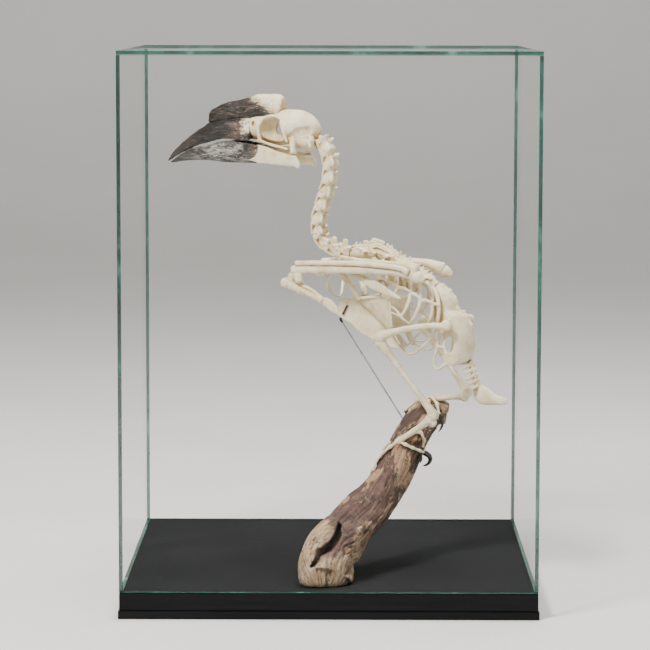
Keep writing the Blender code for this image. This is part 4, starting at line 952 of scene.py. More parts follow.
LOWER_BILL = (
    (98, 367, 383.4, 14.4), (107, 366.8, 384.8, 13.4), (118, 366.6, 386, 12.6), (128, 366.5, 387.1, 11.6),
    (138, 366.8, 386.1, 10.5), (148, 367.6, 383.9, 9), (159, 368.2, 381.9, 7), (170, 367.8, 378.9, 5),
    (181, 366.4, 374.1, 3.4), (189, 365.2, 369.1, 1.9), (193, 364.6, 366.6, 1),
)

CASQUE = (
    (153.6, 410.6, 401.5, 2.4), (151, 413.8, 401.5, 4.2), (144, 417.2, 402.5, 5.4), (134.8, 420.5, 404, 6.3),
    (122.8, 422.8, 405.5, 7.2), (112.6, 425.6, 406.5, 8), (106.2, 427.8, 407, 8.5), (97.8, 428.4, 408, 8.9),
    (88.6, 428.3, 409, 9.2), (82.5, 428, 411, 8.8), (79.2, 425.5, 415, 6.8),
)

JAW_BRANCH = (
    (56.2, 17.2, 365.2, 2.2, 1.2), (60.5, 16.6, 369.3, 4.8, 2.2), (68, 16, 370.8, 5.6, 1.9),
    (79, 15.2, 372.4, 6.4, 1.4), (91, 13.7, 374.6, 7.9, 1.3), (97, 13, 375.2, 8.4, 1.3),
    (103, 9.4, 375.6, 7.6, 1.3), (112, 5.6, 374.6, 5.4, 2),
)


def make_skull():
    """Braincase with its sockets and windows, then the bars, hooks and rims that stand in them."""
    cranium = rod(profile(CRANIUM), sides=28, blunt=0.2)
    sockets = []
    for side in (1, -1):
        reach = 15
        middle = side * (reach + SEPTUM / 2)
        sockets.append(ball((ORBIT[0], middle, ORBIT[1]), (ORBIT_RADIUS, reach, ORBIT_RADIUS), 36, 21))
        fossa = [(65.5, 18, 388.4, 6), (58.5, 20.3, 391.4, 8), (52.5, 18.4, 394.6, 8), (48, 12.6, 396.6, 5.8)]
        sockets.append(rod(sided(fossa, side), sides=16, steps=6, across=FORWARD))
        sockets.append(ball((54, side * 16.4, 388.6), (5.6, 3.6, 3.4), 24, 15))
        sockets.append(ball((92, side * 14.6, 408.6), (4.5, 3.2, 1.2), 24, 15))
        sockets.append(ball((104.3, side * 12.5, 402.3), (1.8, 5, 2.7), 18, 15))
    window = rod([(83, -5, 397.5, 3.1, 4.9), (83, 5, 397.5, 3.1, 4.9)], sides=16, across=FORWARD)
    slot = rod([(77.8, -5, 393, 2.8, 1.9), (77.8, 5, 393, 2.8, 1.9)], sides=16, across=FORWARD)
    later = []
    later += both([(70.5, 15, 402, 2.4), (70.8, 16.3, 395, 1.7), (68.4, 16.6, 390.2, 0.9)])
    later += both([(98.5, 11.6, 388, 1.5), (85, 13.8, 384, 1.1), (68, 15.3, 380.6, 1.2)])
    later += both([(64.5, 9, 391, 4.6, 4), (63.8, 12.8, 385.6, 3.8, 3.2), (62.8, 14.6, 381.4, 3.4, 2.8),
                   (61.6, 15.4, 377.8, 4.6, 3)], sides=16)
    later += both([(64, 14.2, 384.4, 2, 1.5), (71, 12.2, 383.4, 1.4, 1), (77, 10.6, 382.2, 0.9)])
    for side in (1, -1):
        later.append(ball((55, side * 8.4, 386.6), (8, 5.2, 4.8)))
        later.append(ball((48.4, side * 7.4, 388), (3.2, 3.6, 4.6)))
    later.append(ball((54, 0, 384), (10, 9, 5.4)))
    later += both([(74.4, 14.2, 404, 2.6, 1.8), (72.2, 15.8, 397, 1.9, 1.5), (69.6, 16.4, 391, 1.4),
                   (67.8, 16.6, 386.6, 0.8)])
    later += both([(48.6, 12, 387, 2.6, 2.2), (46.4, 13.6, 383, 1.5, 1.2)])
    for side in (1, -1):
        rim = [(ORBIT[0] + (ORBIT_RADIUS + 0.4) * cos(a), side * (13.4 + 0.9 * cos(a)),
                ORBIT[1] + (ORBIT_RADIUS + 0.4) * sin(a), 0.85) for a in (0.35, 0.8, 1.25, 1.7, 2.15, 2.6, 3)]
        later.append(rod([(u, v - side * 1.2 * abs(u - ORBIT[0]) / 8, z, r) for u, v, z, r in rim]))
    later += both([(99, 11.5, 403, 2.2), (98.2, 12.4, 394.5, 1.6), (96.5, 12, 387.5, 1.8)])
    later += both([(103, 4.5, 386.5, 3.4, 1.5), (84, 5, 382.5, 2.4, 1.3), (67, 12, 382, 1.6)])
    beam = [(104, 0, 389, 2.6), (80, 0, 385.5, 2), (58, 0, 382.5, 3.4)]
    later.append(rod(beam))
    later.append(ball((41.8, 0, 388), (2.6, 2.6, 2.4), 18, 12))
    node("skull", [cranium], cutters=[*sockets, window, slot], later=later)


def make_bill():
    node("bill_upper", [vault(UPPER_BILL, 0.12)], "beak")
    rear = (UPPER_BILL[0][0] - 5, *UPPER_BILL[0][1:])
    bed = [(u, crown + GAP, edge, wide + GAP) for u, crown, edge, wide in (rear, *UPPER_BILL)]
    node("casque", [vault(CASQUE, 0)], "casque", cutters=[vault(bed, 0.12)])
    bow = rod([*JAW_BRANCH, (116, 0, 374, 4, 2.6), *sided(reversed(JAW_BRANCH), -1)], sides=16, across=UPWARD)
    joints = [ball((62.6, side * 15.6, 373.6), (4.4, 3.4, 2.2)) for side in (1, -1)]
    node("mandible", [bow, *joints])
    node("bill_lower", [vault(LOWER_BILL, 0.35)], "lower_beak")


# Spine

NECK_LINE = (
    (42, 0, 390.5), (36.5, 0, 379.5), (33.4, 0, 366), (35.2, 0, 350), (40.8, 0, 333), (44.8, 0, 317),
    (43.4, 0, 304.5), (35.5, 0, 295), (22, 0, 290.5), (8, 0, 289.2), (-8, 0, 290), (-20, 0, 288), (-33, 0, 283.5),
    (-46, 0, 277.8), (-58, 0, 271), (-69, 0, 263),
)


def spine_line():
    """Evenly spaced places down the whole spine."""
    dense = flow(NECK_LINE, 24)
    places = [dense[0]]
    for point in dense[1:]:
        while (point - places[-1]).length >= SPINE_STEP:
            places.append(places[-1] + (point - places[-1]).normalized() * SPINE_STEP)
    return places


def spine_frame(places, distance):
    """Place on the spine at a distance from the skull, the way along it and the way out of its back."""
    index = min(max(int(round(distance / SPINE_STEP)), 1), len(places) - 2)
    along = (places[index + 1] - places[index - 1]).normalized()
    return places[index], along, ACROSS.cross(along)


def neck_spine(index):
    """Height and half length of a vertebra's top spine: low in the neck, tall near the back."""
    if index >= 8:
        return 3.6, 4.4
    if index < 2:
        return 3.2, 2.6
    return (2.1, 2.2) if index % 2 else (1.3, 2.6)


def vertebrae(places, first, count):
    """A run of vertebrae: a waisted column with its bars and spines."""
    begin = first * VERTEBRA
    stations = []
    for i in range(count * 2 + 1):
        centre = spine_frame(places, begin + i * VERTEBRA / 2)[0]
        wide = NECK_RADIUS * (1.16 if i % 2 == 0 else 0.82) * (1.18 if first == 0 and i < 3 else 1)
        stations.append((*centre, wide, wide * 1.06))
    pieces = [rod(stations, sides=14, blunt=0)]
    for i in range(count):
        middle = begin + (i + 0.5) * VERTEBRA
        for shift, reach, lift, thick in ((-0.26, 6.8, -1.2, 2.3), (0.34, 5.8, 3.6, 1.9)):
            centre, along, back = spine_frame(places, middle + shift * VERTEBRA)
            at = centre + back * lift
            ends = [(*(at + ACROSS * (reach * side)), thick * 0.8) for side in (1, -1)]
            pieces.append(rod([ends[0], (*at, thick), ends[1]], across=along, blunt=0))
        centre, along, back = spine_frame(places, middle)
        height, length = neck_spine(first + i)
        tip = centre + back * (NECK_RADIUS + height) - along * 0.8
        tip += back * (0.8 + 0.7 * sin(2.3 * (first + i)))
        pieces.append(rod([(*centre, length, 1.8), (*tip, length * 0.6, 1.1)], across=along, blunt=0.9))
        front, along_front, back_front = spine_frame(places, middle - 0.42 * VERTEBRA)
        rear, along_rear, back_rear = spine_frame(places, middle + 0.46 * VERTEBRA)
        for side in (1, -1):
            out = ACROSS * side
            pieces += [
                rod([(*(centre + out * 2.4 + back * 2.4), 2), (*(rear + out * 5 + back_rear * 5), 1.8),
                     (*(rear + out * 5.4 + back_rear * 4.4 + along_rear * 1.8), 1.1)]),
                rod([(*(centre + out * 2.8), 2), (*(front + out * 5.4 + back_front * 1.8), 2),
                     (*(front + out * 6.4 - along_front * 1.4 + back_front * 2.2), 1.3)]),
                rod([(*(front + out * 5.2 - back_front * 2.8), 1.8), (*(centre + out * 5 - back * 4.2), 1.1),
                     (*(rear + out * 4.2 - back_rear * 5.4), 0.6)]),
            ]
        keel, along, back = spine_frame(places, middle - 0.2 * VERTEBRA)
        low = keel - back * (NECK_RADIUS + 1.6)
        pieces.append(rod([(*(keel - back * 2), 2.2, 1.2), (*low, 1.4, 0.8)], across=along))
    return pieces


def make_neck():
    places = spine_line()
    for name, first, count in (("neck_upper", 0, 4), ("neck_middle", 4, 3), ("neck_lower", 7, 3)):
        node(name, vertebrae(places, first, count))


BACK_SPINES = (
    ((0.5, 289), (1, 301), (-6.2, 300), (-6.5, 289)), ((-7.6, 289), (-8.2, 303.8), (-18.6, 301.2), (-18, 288)),
    ((-20.4, 287), (-21.6, 299.4), (-29.6, 293.6), (-29, 284)),
    ((-31.4, 284), (-32.2, 292.2), (-42.6, 286), (-42, 279)), ((-44, 278), (-45, 285), (-55, 279), (-54, 272)),
    ((-56.5, 271), (-57, 277.6), (-66.5, 271), (-65.5, 265)),
)

LOW_RIDGE = (
    (9, 289), (8, 296), (-6, 297.6), (-18, 297.4), (-30, 291.4), (-43, 284.6), (-56, 277.6), (-66, 270.4),
    (-66, 264.5), (-43, 276.5), (-20, 286),
)


def make_back():
    """Thoracic vertebrae with their tall spines and the bars that carry the ribs."""
    column = [(u, 0, z, 4.8, 4.8) for u, _, z in NECK_LINE if u < 12]
    first = (14.5, 0, 289.4, 4.2, 4.4)
    pieces = [rod([first, *column], sides=16, blunt=0.1)]
    pieces += [plate(outline, -1, 1) for outline in BACK_SPINES]
    pieces.append(plate(LOW_RIDGE, -1.4, 1.4))
    crest = flow([(u, 0, z) for u, z in LOW_RIDGE[1:8]], 3)
    for k, point in enumerate(crest):
        rise = 2.2 + 2.4 * noise.noise(Vector((k * 1.7, 0.3, 0)))
        lean = 1.4 + 1.2 * noise.noise(Vector((k * 1.3, 4.3, 0)))
        tip = point + Vector((-lean, 0.5 * sin(k * 2.1), rise + 1.2))
        root = (*(point - UPWARD), 1.7, 1)
        pieces.append(rod([root, (*point.lerp(tip, 0.6), 1.3, 0.8), (*tip, 0.6, 0.5)], across=FORWARD))
    for side in (1, -1):
        for lift, out, thick in ((-0.6, 2, 0.7), (-2.6, 3.2, 0.6)):
            tendon = [(p.x, side * (out + 0.5 * sin(k * 0.9)), p.z + lift + 0.4 * sin(k * 1.7), thick)
                      for k, p in enumerate(crest)]
            pieces.append(rod(tendon))
    for outline in BACK_SPINES:
        u = (outline[0][0] + outline[3][0]) / 2
        z = (outline[0][1] + outline[3][1]) / 2 + 1.6
        half = [(u, 9, z + 1, 2.6, 1.2), (u, 5, z + 0.6, 1.7, 1)]
        pieces.append(rod([*half, (u, 0, z, 3.4, 1.5), *sided(half[::-1], -1)], across=FORWARD))
        pieces += both([(u + 4.6, 4.4, z + 2.4, 1.6), (u, 4, z + 2, 1), (u - 5, 4.4, z + 0.2, 1.5)])
    node("back", pieces)


# Rib cage

RIB_LINES = (
    ((-12, 6, 286.5), (-17.5, 11.5, 279.5), (-22, 16.5, 267), (-25, 19.5, 255.5)),
    ((-21, 6, 285.5), (-27, 13, 277), (-30, 19, 265), (-29.5, 21, 255)),
    ((-31, 6, 282), (-37.5, 14, 273.5), (-40.5, 20, 262.5), (-37, 22, 253)),
    ((-41, 6, 278), (-49.5, 13.5, 270.5), (-53.5, 20, 258), (-51, 22.5, 246.5), (-46, 22.5, 238)),
    ((-51, 6, 273), (-59, 14, 266.5), (-62.8, 20.5, 252.3), (-59.6, 22.5, 240.1), (-53.9, 22.5, 231.1)),
    ((-61, 6, 268), (-69.5, 13.5, 262.5), (-74, 19.5, 248.8), (-72.8, 21, 237.5), (-68.8, 21.2, 229)),
    ((-67.5, 7.5, 264.5), (-76, 15, 257), (-79.7, 18.8, 246.8), (-79.6, 20, 236.5), (-78, 20.6, 228)),
)

STERNAL_RIBS = (
    ((-35, 20.6, 252), (-37, 22, 253.2)), ((-35.3, 20.5, 246), (-40, 21.6, 243.5), (-45.8, 22.5, 238.4)),
    ((-35.5, 20.5, 240.5), (-44.6, 22.6, 237.9), (-53.8, 22.5, 231.4)),
    ((-40, 16, 213), (-50, 19, 212), (-59, 21, 220.2), (-68.6, 21.2, 229.2)),
    ((-42, 14, 211), (-48, 17, 206), (-56, 19, 205.5), (-65, 20.5, 212.2), (-75, 20.8, 222), (-77.8, 20.6, 228.2)),
)


def make_ribs(side, word):
    """Ribs of one side with their lower halves, and a hook from each to the next."""
    pieces = []
    for line in RIB_LINES:
        count = len(line) - 1
        stations = []
        for i, (u, v, z) in enumerate(line):
            thick = RIB * (1.55 - 0.6 * i / count)
            stations.append((u, v * side, z, thick * 1.3, thick * 0.8))
        pieces.append(rod(stations, across=FORWARD, blunt=0))
    for line in STERNAL_RIBS:
        stations = [(u, v * side, z, RIB * 0.85) for u, v, z in line]
        pieces.append(rod(stations, blunt=0))
    for fore, aft in zip(RIB_LINES, RIB_LINES[1:]):
        start = Vector(fore[2])
        end = Vector(aft[2]) + Vector((-1, 1, 1.5))
        stations = [(*start, 1, 1.8), (*((start + end) / 2 + Vector((0, 0.8, 1.5))), 0.9, 1.5), (*end, 0.7, 1)]
        pieces.append(rod(sided(stations, side), blunt=0))
    node("ribs_" + word, pieces)


def sternum_point(s, t):
    """Breastbone surface: s runs from its front to its rear, t from side to side."""
    edges = ((3, 7, 250.5), (-9, 11.5, 251.5), (-24, 17.5, 253), (-34, 19.3, 251), (-34.6, 19.3, 240),
             (-35.2, 19, 229), (-38.5, 17, 219), (-42.5, 14.5, 208.5))
    place = s * (len(edges) - 1)
    index = min(int(place), len(edges) - 2)
    edge = Vector(edges[index]).lerp(Vector(edges[index + 1]), place - index)
    floor = Vector((4 - 45 * s, 0, 247.5 - 39 * s))
    lift = abs(t) ** 1.8
    return Vector((floor.x + (edge.x - floor.x) * lift, edge.y * t, floor.z + (edge.z - floor.z) * lift))


KEEL = (
    (3.5, 248.6), (12, 250), (19, 249.6), (25.3, 246), (24, 238), (21.4, 231.2), (13.7, 227.4), (2.4, 218.6),
    (-12.6, 212), (-28, 207.2), (-40, 206.6), (-38.5, 210.6), (-20, 227), (-8, 238),
)


def make_sternum():
    across = 6
    along = 8
    rows = [[sternum_point(i / along, 2 * j / across - 1) for j in range(across + 1)] for i in range(along + 1)]
    notches = [(i, j) for i in (along - 1, along - 2) for j in (1, 4)]
    pieces = [plate(KEEL, -KEEL_THICKNESS / 2, KEEL_THICKNESS / 2), sheet(rows, PLATE_THICKNESS, notches)]
    pieces += both([(5.5, 2.5, 249.3, 1.6), (-3, 10, 251, 1.5), (-24, 18, 254, 1.2)])
    pieces += both([(-33.6, 19, 252, 1.2), (-34.6, 19.4, 240, 1.3), (-35.4, 19, 228, 1.2)])
    pieces.append(rod([(9, 0, 249.8, 1.6), (2, 0, 248, 2.4), (-6, 0, 241.5, 1.6)], steps=6))
    node("sternum", pieces)


# Shoulders and wings

CORACOID = (
    (12, 17.4, 272, 3, 3.8), (10, 16, 267.5, 2.8, 3.4), (6.6, 12, 260, 2.2, 2.6), (3.4, 8.4, 254, 2.6, 3.2),
    (1.4, 6.4, 250.8, 4.2, 3),
)

SCAPULA = (
    (9, 19.6, 274.4, 1.4, 2.2), (0, 21.8, 272.4, 1.1, 2.4), (-12, 24, 268, 0.9, 3.4), (-22, 25, 264, 0.8, 4.2),
    (-34, 25.6, 259, 0.8, 3.2), (-46, 25, 253.6, 0.6, 0.9),
)

FURCULA = (
    (13.5, 17.6, 275.5, 1.3), (20, 18.6, 275, 1.2), (26, 18.2, 269, 1.5), (28, 16.8, 262, 1.8),
    (27, 12.5, 256, 1.4), (25.2, 6, 251.6, 1), (24.6, 0, 250.4, 0.9),
)

HUMERUS = (
    (10.5, 19, 279.6, 4.6, 5.2), (3, 19.6, 282.4, 3.6, 5.4), (-9, 21.4, 283.4, 2.8, 3.1),
    (-26, 24, 283.6, 2.7, 2.7), (-45, 26.8, 283.2, 2.8, 2.8), (-55, 28.6, 281.6, 4.6, 4.6),
    (-62, 29.4, 279.4, 5, 6),
)

CREST = (
    (14, 20.5, 283.5, 1.2, 2.6), (11.6, 21, 286.6, 1.2, 2.4), (4, 21.4, 285.6, 1.1, 2.2), (-8, 22, 284.6, 1, 1.4),
)

ULNA = (
    (-70, 31, 271, 2, 2.8), (-64.5, 30.4, 273.6, 4.6, 5.6), (-54, 29.8, 276.2, 3.8, 4.3),
    (-38, 29.4, 277.5, 3.4, 3.8), (-5, 28.4, 277.4, 3.3, 3.8), (30, 27.2, 276, 3.3, 3.8),
    (48, 26.6, 275.1, 3.4, 3.9), (56, 26.4, 273.6, 3.8, 5.2),
)

RADIUS_BONE = (
    (-57, 35.4, 278, 2.2, 2.8), (-46, 34, 281.6, 2, 2.3), (-5, 31, 283, 2, 2.3), (35, 28.6, 281.8, 2, 2.3),
    (53, 27.4, 280.8, 2.8, 2.4),
)
WRIST_DROP = 2
ELBOW_DROP = 3.4
ELBOW_END = -60
WRIST_END = 56
SHOULDER_END = 10


def make_hand(name, root, knuckle, tip, rise):
    """Fused hand bones: two metacarpals with a slit between, the digit's blade and its tip."""
    root, knuckle, tip, rise = map(Vector, (root, knuckle, tip, rise))
    second = knuckle.lerp(tip, 0.56)
    wrist = root - (root - knuckle).normalized() * 1.5
    pieces = [rod([(*wrist, 3.6, 5.2), (*root.lerp(knuckle, 0.14), 3, 4.4), (*root.lerp(knuckle, 0.4), 2.4, 2.6),
                   (*root.lerp(knuckle, 0.8), 2.4, 2.6), (*knuckle, 2.7, 3.8)], sides=16)]
    upper = [root.lerp(knuckle, 0.1) + rise * 0.6, root.lerp(knuckle, 0.45) + rise * 1.15,
             root.lerp(knuckle, 0.75) + rise * 1.1, knuckle + rise * 0.55]
    pieces.append(rod([(*point, 1.2, 1.5) for point in upper], blunt=0))
    blade = [(*knuckle, 1.5, 3), (*(knuckle.lerp(second, 0.4) + rise * 0.5), 1.1, 4.2),
             (*(second - (second - knuckle) * 0.15 + rise * 0.3), 1.1, 3.8), (*second, 1.4, 2)]
    pieces.append(rod(blade, sides=16, blunt=0))
    pieces.append(rod([(*second, 1.3, 1.9), (*second.lerp(tip, 0.5), 0.9, 1.4), (*tip, 0.5, 0.6)]))
    spur = root.lerp(knuckle, 0.08) - rise * 0.4
    end = spur + (knuckle - root) * 0.36 - rise * 0.35
    pieces.append(rod([(*spur, 1.2, 1.8), (*spur.lerp(end, 0.5), 1.1, 1.6), (*end, 0.5, 0.6)]))
    node(name, pieces)


HANDS = {
    1: ((60, 27.5, 262), (30, 25, 248.6), (4.5, 20.5, 230.2), (0.6, -0.5, 4.4)),
    -1: ((57, -33, 270.6), (24, -37.4, 272), (-10, -37.2, 273.4), (0, 0.5, 3)),
}


def make_wing(side, word):
    """Upper arm, forearm, wrist and hand of one side."""
    node("humerus_" + word, [rod(upper_arm(HUMERUS, side), sides=16), rod(upper_arm(CREST, side))])
    node("ulna_" + word, [rod(forearm(ULNA, side), sides=16)])
    node("radius_" + word, [rod(forearm(RADIUS_BONE, side))])
    make_hand("hand_" + word, *HANDS[side])
    wrist_top = Vector(forearm([(57.5, 26.6, 270)], side)[0])
    towards = Vector(HANDS[side][0])
    low = 265.4 if side > 0 else 270
    block = forearm([(51.5, 27, 271, 4.6, 4.2), (50.4, 27.2, low, 4.8, 4)], side)
    node("wrist_" + word, [
        rod([(*wrist_top, 3.2, 3.6), (*towards, 3.2, 3.6)], sides=16),
        rod(block, sides=16),
        ball(towards + Vector((3.4, 0.5 * side, 1.2)), (5, 3.6, 4.8)),
    ])


def make_shoulder(side, word):
    node("coracoid_" + word, [
        rod(sided(CORACOID, side), sides=16),
        rod(sided([(8, 14, 265, 1.1), (-3, 13, 262.4, 0.5)], side)),
    ])
    node("scapula_" + word, [rod(sided(SCAPULA, side))])


def make_furcula():
    right = sided(reversed(FURCULA[:-1]), -1)
    node("furcula", [rod([*FURCULA, *right], across=FORWARD)])


# Pelvis, legs and tail

PELVIS_ROWS = (  # z, then u of the back's middle line, u of the side's edge and v of that edge
    (264.5, -75, -72, 6.5),
    (257.5, -83.5, -71.5, 10),
    (250.5, -88.3, -71, 12.5),
    (243.5, -90.2, -71, 14),
    (239, -97.4, -72.5, 15),
    (232, -101, -76, 16.5),
    (224, -103, -82, 17),
    (215, -104, -83.6, 17.4),
    (207, -103.6, -84, 17.4),
    (200.5, -101.4, -85, 17),
    (196.5, -96, -88, 16.5),
)


PELVIS_COLUMNS = 4


def pelvis_rows():
    """Rows of one side of the pelvis, from the middle line of the back round to the side's edge."""
    rows = []
    for z, back_u, edge_u, edge_v in PELVIS_ROWS:
        row = []
        for k in range(PELVIS_COLUMNS + 1):
            t = k / PELVIS_COLUMNS
            v = edge_v * sin(pi / 2 * min(1, t * 1.5)) ** 0.8
            rise = 0.9 * t if z < 200 else 0
            row.append(Vector((back_u + (edge_u - back_u) * t ** 1.35, v, z + rise)))
        rows.append(row)
    return rows


RIDGE_LUMPS = ((-76, 264.6), (-83, 259.6), (-87.6, 254.6), (-95.6, 242.6), (-99.6, 238), (-102.6, 231.4))
FORAMEN = (-89.5, 214.5)
VIEW_SLANT = -0.466
CREST_LINE = (
    (-70, 266.5), (-77, 264.5), (-84.5, 258.5), (-89, 252.5), (-90.5, 245), (-91, 243), (-97, 241.5),
    (-101.4, 235.6), (-103.6, 228), (-104.8, 217), (-104.2, 206), (-100, 206), (-98, 220), (-90, 238), (-80, 253),
    (-70, 260),
)
FLANGE = ((-88, 15, 236, 1.8), (-92, 13.6, 232, 1.5), (-97, 12.6, 224, 1), (-99, 12.4, 212, 0.8))
BROW = ((-72.5, 7.4, 263, 1.4), (-74, 11, 255, 1.3), (-73.4, 13.6, 246, 1.3), (-76, 15.6, 236, 1.5))
PUBIS = (
    (-81, 16.6, 227, 1.8), (-78.6, 17, 217, 1.5), (-77, 17.2, 209, 1.2), (-74.8, 17.2, 202, 1.1), (-75.2, 17, 196, 1.2),
    (-78.4, 16.8, 192.8, 1.6), (-86, 16.6, 198, 1.8),
)
SYNSACRUM = (
    (-71.5, 0, 262, 4.2, 4), (-80, 0, 254.5, 4.8, 4.4), (-88, 0, 243, 5, 4.4), (-95, 0, 230, 5.2, 4.2),
    (-99, 0, 216, 4.6, 3.4), (-100.8, 0, 203.5, 3.6, 2.8),
)


def make_pelvis():
    """Hip bone: a curved shell on both sides of its column, with its bars, rims and the thin pubic bones."""
    pieces = [rod(SYNSACRUM, sides=16)]
    rows = [[Vector(p) for p in sided(row[:0:-1], -1)] + row for row in pelvis_rows()]
    pieces.append(sheet(rows, PLATE_THICKNESS))
    slant = [(FORAMEN[0] + VIEW_SLANT * (v - 17), v, FORAMEN[1], 3.8, 6.8) for v in (9, 26)]
    foramina = both(slant, sides=16, across=FORWARD, blunt=0)
    for side in (1, -1):
        for u, z, reach in ((-80, 252.5, 10.5), (-91, 233, 13)):
            bar = [(u, 0, z, 2.6, 2.2), (u + 1.5, reach * side, z, 2.2, 1.8)]
            pieces.append(rod(bar, across=FORWARD, blunt=0))
        rim = [(-87.5, 12, 230, 4.6, 4.6), (-87, 17, 230.5, 4.4, 4.4)]
        pieces.append(rod(sided(rim, side), sides=16, across=FORWARD))
        pieces.append(rod(sided(PUBIS, side), blunt=0))
        bridge = [(-78, 17, 213, 1.3), (-84.5, 17.3, 212, 1.6)]
        pieces.append(rod(sided(bridge, side), blunt=0))
    for k, (u, z) in enumerate(RIDGE_LUMPS):
        lump = (1.3 + 0.5 * sin(k * 2.7), 1.2, 1.8 + 0.8 * sin(k * 1.9))
        pieces.append(ball((u, 0.6 * sin(k * 2), z), lump, 18, 15))
    for side in (1, -1):
        for line in (FLANGE, BROW):
            pieces.append(rod(sided(line, side)))
    crest = plate(CREST_LINE, -0.9, 0.9)
    node("pelvis", [*pieces, crest], cutters=foramina)


LEGS = {  # hip, knee, ankle and the foot of the long foot bone
    1: ((-86.5, 18.6, 230.6), (-31, 32, 220.6), (-74.8, 17, 152.6), (-45, 21.5, 128.6)),
    -1: ((-86.5, -18.6, 230.6), (-39.6, -43, 227.4), (-93, -14.8, 170.2), (-53.6, -12.6, 160)),
}


def shaft(start, end, near, waist, far, bow=0):
    """Long bone between two joints: thick ends, a thin middle and an even bow."""
    bend = UPWARD * bow
    stations = []
    for t, thick in ((0, near), (0.12, near * 0.72), (0.35, waist), (0.65, waist), (0.88, far * 0.72), (1, far)):
        place = start.lerp(end, t) + bend * (4 * t * (1 - t))
        stations.append((*place, thick))
    return rod(stations, sides=16)


def make_leg(side, word):
    """Thigh bone, shin bone and foot bone of one leg, with their knuckles."""
    hip, knee, ankle, foot = map(Vector, LEGS[side])
    outer = hip + Vector((-3.2, 7.5 * side, 0.8))
    head = rod([(*hip, 3.4), (*outer, 3.8)], sides=16)
    trochanter = ball(outer + Vector((-0.4, 0.5 * side, 1.2)), (4.6, 3.2, 4.8))
    condyles = [ball(knee + Vector((0.6, 3 * turn, -1.2)), (4.6, 2.8, 5.2)) for turn in (1, -1)]
    kneecap = ball(knee + Vector((5.2, 0, -2.4)), (1.8, 2.6, 2.8))
    node("femur_" + word, [shaft(outer, knee, 4, 2.8, 5.2, bow=3.4), head, trochanter, kneecap, *condyles])
    top = knee + Vector((0.8, 0, -5.2))
    crest = rod([(*(top + Vector((3.4, 0, 1))), 1.5, 2), (*top.lerp(ankle, 0.1), 1.6)])
    splint = rod([(*(top + Vector((-2.6, 2.2 * side, -0.5))), 1.1),
                  (*(top.lerp(ankle, 0.45) + Vector((-1.5, 1.2 * side, 0))), 0.7)])
    knuckles = [ball(ankle + Vector((0.4, 2.7 * turn, -0.6)), (4.4, 2.1, 4.6)) for turn in (1, -1)]
    node("tibiotarsus_" + word, [shaft(top, ankle, 5.4, 2.6, 4.6), crest, splint, *knuckles])
    heel = ankle + (foot - ankle).normalized() * 4.6 + Vector((0, 0, -2.2))
    pulleys = [ball(foot + Vector((0.6, turn * 2.5, -0.8)), (2.6, 1.5, 2.8)) for turn in (-1, 0, 1)]
    back = ball(heel + Vector((-2.6, 0, -1.6)), (4, 3, 4.4))
    node("tarsometatarsus_" + word, [*pulleys, shaft(heel, foot, 5.2, 2.7, 3.6), back])


TOES = {  # paths in the case's own x, y, z, from the foot bone out to the claw's root
    1: (
        ((60, -29, 128), (53, -34.5, 124), (46.2, -36.5, 118.6), (41, -38.5, 112.4), (38.8, -44, 106.6)),
        ((60, -28.6, 128.2), (53, -24.6, 125.4), (47.8, -18.6, 119.4), (45.2, -14.4, 111.4)),
        ((60.5, -29.5, 127.6), (66.4, -33.4, 125.6), (72.6, -33, 122.6), (79.2, -29.4, 119.6), (82.4, -25.4, 117.4)),
        ((62, -27, 129), (71, -24, 135), (80, -22, 134.6), (83, -22.6, 128), (81.4, -22.6, 121.8)),
    ),
    -1: (
        ((83, -0.8, 161.2), (76.6, -2.6, 159.4), (71, -2.4, 155.4), (67, -0.6, 151.4)),
        ((83.4, -1.4, 161), (86.6, -9.6, 160.6), (89.4, -15.6, 153.4)),
        ((84.4, -0.8, 161.6), (90, -6.4, 164), (94.4, -13.4, 158.6), (96, -17, 149.6)),
        ((83, 0.6, 161), (84.6, 10, 160), (84, 15.6, 151)),
    ),
}

CLAWS = {
    1: (
        ((38.4, -44.2, 105.6), (36.9, -40.8, 102.2), (36.6, -36.4, 99.6), (38, -31.8, 98)),
        ((45, -14, 110.8), (43.4, -11, 106.8), (42.6, -9, 102.6), (44, -7.6, 98.8)),
        ((83.2, -24.8, 117), (87.4, -23.4, 114), (88.2, -22, 109.6), (85.8, -21.4, 106.2), (82.2, -21.4, 105)),
        ((81.2, -22.4, 121), (79.6, -25.6, 116.6), (80.4, -27.6, 112), (79.2, -28.4, 108.4)),
    ),
    -1: (
        ((67.4, 0.4, 150.6), (68.4, 5.4, 147.8), (69.6, 9.4, 143.8), (71.6, 11.2, 139.8)),
        ((89.6, -16.2, 152.8), (91, -19, 148.4), (90.6, -20.4, 143.6), (89.4, -20.6, 140)),
        ((96, -17.4, 149), (98.4, -18.8, 144.8), (98.6, -19.6, 140), (95.8, -19.8, 135)),
        ((83.9, 16, 150.2), (81.6, 17.8, 145.4), (80, 18.2, 141.4), (80, 17, 137.4)),
    ),
}


def toe(line):
    """Row of toe bones: swollen at each joint."""
    stations = []
    for i in range(len(line) - 1):
        start, end = Vector(line[i]), Vector(line[i + 1])
        taper = 1 - 0.07 * i
        stations.append((*start, 2.15 * taper))
        stations.append((*start.lerp(end, 0.22), 1.7 * taper))
        stations.append((*start.lerp(end, 0.5), 1.35 * taper))
        stations.append((*start.lerp(end, 0.8), 1.6 * taper))
    stations.append((*line[-1], 1.6))
    return rod(stations, across=UPWARD, frame=ROOM, blunt=0.3)


